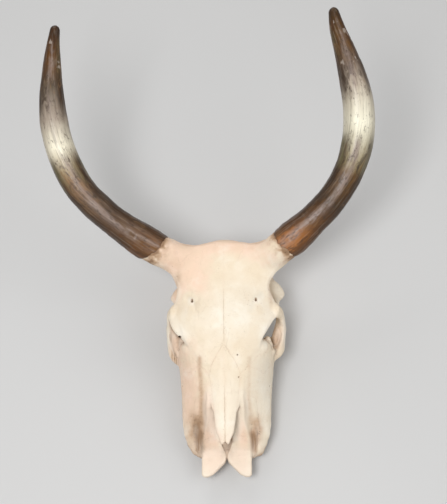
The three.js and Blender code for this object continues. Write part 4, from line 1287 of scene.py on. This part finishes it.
def horn_material(name, shades, settings):
    """Weathered horn. The shade runs from rust at the rim through grey brown and cream to olive
    brown at the tip. Over it lie stripes along the horn, a painted highlight as a pale streak on
    the side that faces up towards the camera, flanks darkened as painted shade, mottling, flakes
    that show paler layers, and painted shade inside the sheath."""
    m = Maker(name, 0.35)
    m.shader.inputs["Specular IOR Level"].default_value = 0.2
    along, worn = m.attribute("along"), m.attribute("worn")
    joined = m.tree.nodes.new("ShaderNodeCombineXYZ")
    for socket, key in zip(joined.inputs, ("turn_c", "turn_s", "run")):
        m.feed(socket, m.attribute(key))
    shell = joined.outputs[0]
    stripes = m.noise(m.stretched(shell, (1, 1, 0.045)), 300, 5, 0.62, 0.15)
    wide = m.noise(m.stretched(shell, (1, 1, 0.12)), 70, 4, 0.6, 0.3)
    blotch = m.noise(m.stretched(shell, (1, 1, 0.45)), 85, 6, 0.66, 0.6)
    flecks = m.noise(m.stretched(shell, (1, 1, 0.4)), 230, 5, 0.7, 0.4)
    place = m.plus(along, m.times(m.minus(wide, 0.5), 0.07))
    place = m.plus(place, m.times(m.minus(blotch, 0.5), 0.05))
    tone = m.ramp(place, [(p, horn_shade(c)) for p, c in shades])
    pale = m.times(m.band(along, 0.46, 0.53), m.band(along, 0.72, 0.62), True)
    dark = m.minus(1.0, pale)
    # Painted shade: the flanks darken, less on the pale band.
    shaded = m.times(m.band(m.attribute("flank"), 0.1, 0.95), m.minus(0.85, m.times(pale, 0.45)))
    tone = m.mix(shaded, tone, m.mix(pale, DARK_FLANK_SHADE, PALE_FLANK_SHADE))
    tone = m.over(tone, MOTTLE, m.times(m.band(blotch, 0.47, 0.6), dark), 0.6)
    tone = m.over(tone, WARM_HORN, m.times(m.band(blotch, 0.44, 0.34), dark), 0.4)
    # Painted highlight: a pale streak down the side that faces the camera, broken up by noise.
    streak = m.times(worn, m.band(m.plus(wide, m.times(blotch, 0.5)), 0.62, 0.9), True)
    tone = m.over(tone, PAINTED_HIGHLIGHT, m.times(streak, dark), 0.7)
    tone = m.over(tone, RUST, m.times(m.attribute("rust"), m.band(blotch, 0.42, 0.6), True), 0.62)
    tone = m.over(tone, OLIVE, m.times(m.attribute("olive"), m.band(wide, 0.4, 0.6), True), 0.65)
    tone = m.mix(m.band(stripes, 0.5, 0.68, 0.0, 0.34), tone, DARK_STRIPE)
    tone = m.mix(m.band(stripes, 0.5, 0.3, 0.0, 0.14), tone, PALE_STRIPE)
    spots = m.times(m.band(flecks, 0.53, 0.62), m.band(blotch, 0.44, 0.58), True)
    tone = m.over(tone, FLECK, spots, 0.72)
    chips = m.attribute("chip")
    tone = m.over(tone, FLAKE, chips, 0.6)
    # Painted shade inside the sheath and at its rim.
    tone = m.mix(m.attribute("shut"), tone, INSIDE_SHADE)
    height = m.plus(m.times(stripes, 0.8), m.times(flecks, 0.35))
    normal = m.bump(height, 0.5, 0.0007, m.bump(blotch, 0.3, 0.0015))
    gloss = settings.horn_roughness
    roughness = m.band(m.plus(m.times(flecks, 0.6), m.times(chips, 0.5)), 0.25, 0.75,
                       gloss - 0.06, gloss + 0.3)
    return m.finish(tone, roughness, normal)


# ---------------------------------------------------------------- horn sheaths


def horn_surface(rows, tilt, seed, around=180, steps=340):
    """Closed sheath over two parameters: v runs round the horn and u along it. The outer wall
    starts at a ragged rim, follows the path with the table's radius plus growth rings, fine
    ridges and flaked-off patches, and rounds over the tip; inside the rim a second wall runs
    back to a floor that closes it. Returns points, faces and attributes."""
    table = with_length(rows)
    root, total = table[SHEATH_FROM, 0], table[-1, 0]
    v = np.linspace(0, 2 * np.pi, around + 1)[:-1]
    u = np.linspace(0, 1, steps)
    c, d = np.cos(v), np.sin(v)
    _, f1, f2, _ = horn_frame(table, np.array([root]))
    upward = (c[:, None] * f1 + d[:, None] * f2) @ RIM_UP
    rag = sum(deep * noise(c * 30, d * 30, 0 * v, size, seed + draw)
              for deep, size, draw in ((2.6, 15, 0), (1.5, 6, 1), (0.7, 2.2, 9)))
    start = root + rag + tilt * upward
    place = start[None, :] + (total - start[None, :]) * (0.25 * u**2 + 0.75 * u)[:, None]
    centre, frame1, frame2, radius = horn_frame(table, place)
    turn = v[None, :]
    ring_c, ring_s = np.cos(turn) * radius, np.sin(turn) * radius

    def rough(stretch, size, draw):
        """Noise round the horn and along it, drawn out lengthways by 1 / stretch."""
        return noise(ring_c, ring_s, place * stretch, size, seed + draw)

    def banded(length, size, draw):
        """Noise that only the length along the horn changes."""
        return noise(length, 0 * place, 0 * place, size, seed + draw)

    ridge = 0.32 * rough(0.06, 6, 2) + 0.16 * rough(0.08, 2.4, 3)
    warp = place + 5 * rough(0.3, 24, 5)
    rings = 0.45 * banded(warp, 13, 4) + 0.3 * banded(warp, 5, 6)
    fade = np.clip(1 - (place - root) / 300, 0.12, 1)
    run = (place - root) / (total - root)
    scale = rough(0.45, 9, 7) + 0.6 * rough(0.6, 3.5, 8)
    where = rise(run, 0.7, 0.76) * rise(run, 0.97, 0.94)
    where = where * (0.5 + np.clip(ring_s, 0, 20) / 40) + 0.25
    chip = rise(scale * where, 0.52, 0.59)
    thin = rise(place - start[None, :], 0, 7)
    outer = radius - SHEATH_WALL * (1 - thin) ** 2 + ridge + rings * fade - 0.55 * chip
    bend = 0.7 * banded(place * 0.5, 20, 11) - 0.9
    outer = outer + bend * rise(run, 0.05, 0.15)
    tip = rise(place, total - 10, total)
    outer = outer * np.sqrt(np.clip(1 - 0.93 * tip**2.4, 0.02, 1))
    wall = ring_points(centre, frame1, frame2, outer, turn)
    facing = np.einsum("abk,k->ab", wall - centre, HIGHLIGHT_SIDE) / np.maximum(outer, 1)
    outwards = np.cross(np.cross(frame1, frame2), HIGHLIGHT_SIDE) * np.sign(rows[0][0])
    outwards = outwards / np.linalg.norm(outwards, axis=-1, keepdims=True)
    across = ((wall - centre) * outwards).sum(-1) / np.maximum(outer, 1)
    inner = []
    for step, shrink in ((0.0, 1.4), (2.0, 2.3), (5.0, 2.7), (9.0, 2.7)):
        back = start + step
        cc, g1, g2, r = horn_frame(table, back[None, :])
        inner.append(ring_points(cc, g1, g2, np.maximum(r - SHEATH_WALL - shrink, 3), turn))
    points = np.concatenate(inner[::-1] + [wall])
    quads, caps = ring_faces(len(points), around)
    flat = np.concatenate([points.reshape(-1, 3), [points[0].mean(0), points[-1].mean(0)]])
    spread = rise(np.abs(across), 0.3, 0.85)
    base = rise(run, 0.24, 0.1)
    late = rise(run, 0.78, 0.83) * rise(run, 0.97, 0.93)
    middle = rise(run, 0.36, 0.41) * rise(run, 0.52, 0.46)
    marks = {
        "along": run, "run": place / 1000, "turn_c": ring_c / 1000, "turn_s": ring_s / 1000,
        # The worn mark is where the highlight is painted, along the side that faces the camera, and
        # the flank mark is where painted shade lies.
        "worn": np.exp(-((across + 0.08) / 0.34) ** 2) * np.clip(facing * 2, 0, 1),
        "flank": spread,
        "rust": np.clip(base * (0.35 + 0.8 * np.clip(across, 0, 1)) + 0.75 * late * spread, 0, 1),
        "olive": np.clip(middle * spread * 1.3 + late * 0.5 * np.clip(-across, 0, 1), 0, 1),
        "chip": chip,
    }
    for key, grid in marks.items():
        first, last = grid[0].mean(), grid[-1].mean()
        marks[key] = np.r_[np.full(4 * around, first), grid.ravel(), first, last]
    # Painted shade: the inner wall is dark all over, and the outer wall darkens close to the rim.
    marks["shut"] = np.r_[np.ones(4 * around), 0.6 * np.clip(1 - thin.ravel() * 3, 0, 1), 1, 0]
    return flat, [quads, caps], marks


def ring_faces(rings, around):
    """Quads between neighbouring closed rings of points, and triangles from the first and the
    last ring to two middle points, which follow the rings in the list of points."""
    i, j = np.meshgrid(np.arange(rings - 1), np.arange(around), indexing="ij")
    a, b = i * around + j, i * around + (j + 1) % around
    quads = np.stack([a, b, b + around, a + around], -1).reshape(-1, 4)
    ring, following = np.arange(around), np.roll(np.arange(around), -1)
    last, middle = (rings - 1) * around, np.full(around, rings * around)
    caps = [np.stack([following, ring, middle], 1),
            np.stack([last + ring, last + following, middle + 1], 1)]
    return quads, np.concatenate(caps)


def horn_frame(table, place):
    """Centre, two unit directions across the path, and radius at lengths `place`."""
    here = hermite(table, place)
    ahead = hermite(table, np.minimum(place + 1, table[-1, 0]))
    behind = hermite(table, place - 1)
    d = ahead[..., :3] - behind[..., :3]
    d = d / np.linalg.norm(d, axis=-1, keepdims=True)
    up = np.array([0, 0, 1.0])
    f1 = up - d * (d @ up)[..., None]
    f1 = f1 / np.linalg.norm(f1, axis=-1, keepdims=True)
    return here[..., :3], f1, np.cross(d, f1), here[..., 3]


def ring_points(centre, f1, f2, radius, turn):
    """Points at an angle and a radius about a centre, in the plane of two directions."""
    radius = np.asarray(radius)[..., None]
    c, d = np.cos(turn)[..., None], np.sin(turn)[..., None]
    return centre + f1 * (radius * c) + f2 * (radius * d)


# ---------------------------------------------------------------- teeth


def tooth_surface(start, length, index):
    """One cheek tooth: v runs round a rounded square with folds, u climbs from the root to the
    worn rim and then inwards over the chewing face."""
    middle = start + length / 2
    x = 59 + 6 * math.sin(math.pi * (index + 0.6) / 7.5)
    half = length / 2 - 0.3
    wide = 8 + index if index < 3 else 11.5
    v = np.linspace(0, 2 * np.pi, 73)[:-1][None, :]
    c, d = np.cos(v), np.sin(v)
    lobes = 2 if index > 2 else 1
    fold = 1 + 0.05 * np.cos(v * 2) + (0.07 * np.cos(2 * lobes * (v - np.pi / 2)) * np.abs(c))
    px = wide * np.sign(c) * np.abs(c) ** 0.6 * fold
    py = half * np.sign(d) * np.abs(d) ** 0.55 * (1 + 0.02 * np.cos(4 * v))
    climb, size = np.array(TOOTH_PROFILE).T[:, :, None]
    crescent = 1.1 * np.sin(lobes * 2 * v) * rise(np.abs(size - 0.5), 0.3, 0)
    z = climb + crescent * (climb < 1.5)
    grid = np.stack([x + px * size, middle + py * size, z + 0 * px], -1)
    pits = rise(np.abs(size - 0.45), 0.22, 0) * np.clip(np.sin(lobes * 2 * v) * -1.6, 0, 1)
    return grid, climb + 0 * px, pits * (climb < 1.5)


def teeth_mesh(side):
    """Points and faces of one side's row, and how high on the crown and how worn each point is."""
    points, quads, caps, crown, worn = [], [], [], [], []
    start, base = TOOTH_ROW_START, 0
    for index, length in enumerate(TOOTH_LENGTHS):
        grid, height, pits = tooth_surface(start, length, index)
        sides, ends = ring_faces(*grid.shape[:2])
        points += [grid.reshape(-1, 3) * (side, 1, 1), [grid[0].mean(0) * (side, 1, 1)],
                   [grid[-1].mean(0) * (side, 1, 1)]]
        # A mirrored tooth would be inside out, so one side's faces are turned round.
        quads.append(sides[:, ::-side] + base)
        caps.append(ends[:, ::-side] + base)
        crown.append(np.r_[height.ravel(), 20, 0])
        worn.append(np.r_[pits.ravel(), 0, 0.4])
        start += length
        base += height.size + 2
    marks = {"crown": np.concatenate(crown), "worn": np.concatenate(worn)}
    return np.concatenate(points), [np.concatenate(quads), np.concatenate(caps)], marks


# ---------------------------------------------------------------- operators


def finish_piece(piece, material, slot, *nodes):
    """Gives a piece its material and its body, and hides the solids it stands for. The slot is not
    used.
    """
    piece.data.materials.append(material)
    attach(piece, "root")
    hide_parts(*nodes)
    return piece


def shade(name, about, colour):
    """A colour setting of the scene."""
    return bpy.props.FloatVectorProperty(
        name=name, description=about, default=colour, subtype="COLOR", size=3, min=0, max=1)


def roughness(name, about, value):
    """A roughness from 0 to 1, as a setting of the scene."""
    return bpy.props.FloatProperty(
        name=name, description=about, default=value, min=0.1, max=0.9, subtype="FACTOR")


class SkullSettings(bpy.types.PropertyGroup):
    """Settings of the scene, of which the panel shows the grid step and the suture gap"""

    grid_step: bpy.props.FloatProperty(
        name="Grid step", description="Distance between the grid points of the bone's field, mm",
        default=1.49, min=0.8, max=6)
    suture_gap: bpy.props.FloatProperty(
        name="Suture gap",
        description="Gap between two bones at their suture, mm; below zero they overlap",
        default=-0.6, min=-1, max=2)
    bone_ivory: shade("Ivory", "Colour of plain dry bone", (0.82, 0.70, 0.535))
    # The bleached colour also paints light on the ear roots.
    bone_bleached: shade(
        "Bleached", "Colour of bone that the sun has whitened", (0.86, 0.80, 0.685))
    bone_beige: shade("Beige", "Colour of the warm flank", (0.85, 0.62, 0.475))
    bone_grey: shade("Grey cream", "Colour of the cool flank", (0.79, 0.735, 0.63))
    # The tan and the brown serve for stains and for painted shade.
    tan_stain_and_shade: shade("Tan stain", "Colour of weak stains", (0.53, 0.36, 0.235))
    brown_stain_and_shade: shade("Brown stain", "Colour of strong stains", (0.27, 0.155, 0.08))
    bone_roughness: roughness("Bone roughness", "Mean roughness of the bone", 0.6)
    horn_roughness: roughness("Horn roughness", "Roughness of sound horn", 0.34)
    tooth_roughness: roughness("Tooth roughness", "Roughness of clean enamel", 0.28)


def parted(grid, gap):
    """The bones' fields in turn, and for the whole grid the distance to the nearest suture that
    reaches the surface there. Each region takes its share of what is left. A suture is open
    only at the surface; half a millimetre down, each bone laps under the one before it."""
    x = grid.axes[0][:, None, None]
    s = grid.axes[1][None, :, None]
    z = grid.axes[2][None, None, :]
    rest = left_over = grid.field
    seam = np.full(rest.shape, 30, np.float32)
    half_gap = gap / 2 - 1.5 * rise(-grid.field, 0.1, 0.6)
    fields = []
    for name, paired, region in suture_regions(x, s, z):
        region = region.astype(np.float32)
        part = np.maximum(rest, region + gap / 2)
        rest = np.maximum(rest, half_gap - region)
        seam = np.minimum(seam, np.maximum(np.abs(region), left_over))
        if paired:
            seam = np.minimum(seam, np.maximum(np.abs(x), np.maximum(left_over, region)))
            fields.append((name + "_left", np.maximum(part, half_gap - x)))
            fields.append((name + "_right", np.maximum(part, half_gap + x)))
        else:
            fields.append((name, part))
        left_over = np.maximum(left_over, -region)
    fields.append(("occipital", rest))
    return fields, seam


class SKULL_OT_bones(bpy.types.Operator):
    """Works out the bones as one field, parts them and meshes each"""

    bl_idname = "skull.bones"
    bl_label = "Bones"

    def execute(self, context):
        settings = context.scene.skull
        step = settings.grid_step
        grid = skull_field(step)
        fields, seam = parted(grid, settings.suture_gap)
        material = bone_material(settings)
        for name, field in fields:
            near = np.argwhere(field < 2 * step)
            low = np.maximum(near.min(0) - 1, 0)
            high = near.max(0) + 2
            cut = tuple(slice(a, b) for a, b in zip(low, high))
            box = [a[c] for a, c in zip(grid.axes, cut)]
            padded = np.pad(field[cut], 1, constant_values=step)
            box = [np.r_[a[0] - step, a, a[-1] + step] for a in box]
            points, faces = surface_net(padded, box, step)
            points, faces = largest_part(points, faces)
            points = smoothed(points, faces, 2)
            normals = vertex_normals(points, faces)
            marks = bone_marks(grid, seam, points, normals)
            points = on_floor(weathered(points, normals))
            piece = make_mesh("bone_" + name, points, [faces], marks)
            finish_piece(piece, material, "bone", name)
        return {"FINISHED"}


class SKULL_OT_teeth(bpy.types.Operator):
    """Sets the cheek teeth into both upper jaws"""

    bl_idname = "skull.teeth"
    bl_label = "Teeth"

    def execute(self, context):
        material = tooth_material(context.scene.skull)
        for side, word in ((1, "left"), (-1, "right")):
            points, faces, marks = teeth_mesh(side)
            piece = make_mesh("teeth_" + word, on_floor(points), faces, marks)
            finish_piece(piece, material, "bone", "maxilla_" + word)
        return {"FINISHED"}


class SKULL_OT_horns(bpy.types.Operator):
    """Draws the two horn sheaths over their cores"""

    bl_idname = "skull.horns"
    bl_label = "Horns"

    def execute(self, context):
        for word, rows, tilt, seed, shades in HORNS:
            material = horn_material("horn_" + word, shades, context.scene.skull)
            points, faces, marks = horn_surface(rows, tilt, seed)
            piece = make_mesh("horn_sheath_" + word, laid(points), faces, marks)
            finish_piece(piece, material, "horn", "horn_" + word)
        return {"FINISHED"}


# The camera in the skull's own frame: its place in mm and the directions of its axes.
CAMERA_PLACE = (120.2, -543.5, 1824.1)
CAMERA_RIGHT = (0.9977, 0.0107, -0.0671)
CAMERA_UP = (0.0243, 0.8665, 0.4985)
CAMERA_BACK = (0.0635, -0.4990, 0.8643)
# Height of the frame and focal length in its dots, and the sensor's height in mm.
FRAME_HEIGHT, FOCAL_LENGTH, SENSOR = 504, 963.75, 36
# Lamps: name, place, size in metres, watts.
LAMPS = [
    ("key", (-0.45, -0.95, 2.3), 0.9, 35), ("fill", (1.7, -0.4, 1.6), 1.6, 12),
    ("back", (-0.5, 1.9, 1.7), 1.4, 14),
]


class SKULL_OT_stage(bpy.types.Operator):
    """Floor, lamps and camera"""

    bl_idname = "skull.stage"
    bl_label = "Stage"

    def execute(self, context):
        scene = context.scene
        axes = np.array([CAMERA_RIGHT, CAMERA_UP, CAMERA_BACK])
        turned = laid(axes * 1000) - laid(np.zeros((1, 3)))
        camera = bpy.data.objects.new("camera", bpy.data.cameras.new("camera"))
        camera.data.sensor_width = SENSOR
        camera.data.lens = SENSOR * FOCAL_LENGTH / FRAME_HEIGHT
        camera.data.clip_end = 50
        rows = np.eye(4)
        # The factor q of q r squares the rounded axes up; the signs of r keep their directions.
        square, signs = np.linalg.qr(turned.T)
        rows[:3, :3] = square * np.sign(np.diag(signs))
        rows[:3, 3] = laid(np.array([CAMERA_PLACE]))[0]
        camera.matrix_world = Matrix(rows.tolist())
        scene.collection.objects.link(camera)
        scene.camera = camera
        grid = np.linspace(-4, 4, 3)
        gx, gy = np.meshgrid(grid, grid, indexing="ij")
        points = np.stack([gx.ravel(), gy.ravel(), 0 * gx.ravel() - 0.0002], 1)
        faces = [(i * 3 + j, (i + 1) * 3 + j, (i + 1) * 3 + j + 1, i * 3 + j + 1)
                 for i in range(2) for j in range(2)]
        floor = make_mesh("floor", points, [np.array(faces)], smooth=False)
        floor.data.materials.append(Maker("floor", 0.9).finish((0.6, 0.6, 0.6)))
        for name, where, size, power in LAMPS:
            lamp = bpy.data.lights.new(name, "AREA")
            lamp.size = size
            lamp.energy = power
            holder = bpy.data.objects.new(name, lamp)
            holder.location = where
            aim = Vector((0, 0, 0.1)) - Vector(where)
            holder.rotation_euler = aim.to_track_quat("-Z", "Y").to_euler()
            scene.collection.objects.link(holder)
        world = bpy.data.worlds.new("studio")
        world.use_nodes = True
        sky = world.node_tree.nodes["Background"].inputs
        sky["Color"].default_value = (1, 0.99, 0.97, 1)
        sky["Strength"].default_value = 0.38
        scene.world = world
        scene.view_settings.view_transform = "Standard"
        return {"FINISHED"}


class SKULL_PT_panel(bpy.types.Panel):
    """Settings and the buttons that build the pieces"""

    bl_label = "Skull"
    bl_idname = "SKULL_PT_panel"
    bl_space_type = "VIEW_3D"
    bl_region_type = "UI"
    bl_category = "Skull"

    def draw(self, context):
        column = self.layout.column()
        column.prop(context.scene.skull, "grid_step")
        column.prop(context.scene.skull, "suture_gap")
        for kind in OPERATORS:
            column.operator(kind.bl_idname)


OPERATORS = (SKULL_OT_bones, SKULL_OT_teeth, SKULL_OT_horns, SKULL_OT_stage)
CLASSES = (SkullSettings, *OPERATORS, SKULL_PT_panel)


def register():
    for kind in CLASSES:
        bpy.utils.register_class(kind)
    bpy.types.Scene.skull = bpy.props.PointerProperty(type=SkullSettings)


def unregister():
    del bpy.types.Scene.skull
    for kind in reversed(CLASSES):
        bpy.utils.unregister_class(kind)


def main():
    register()
    bpy.ops.skull.bones()
    bpy.ops.skull.teeth()
    bpy.ops.skull.horns()
    bpy.ops.skull.stage()


if __name__ == "__main__":
    main()
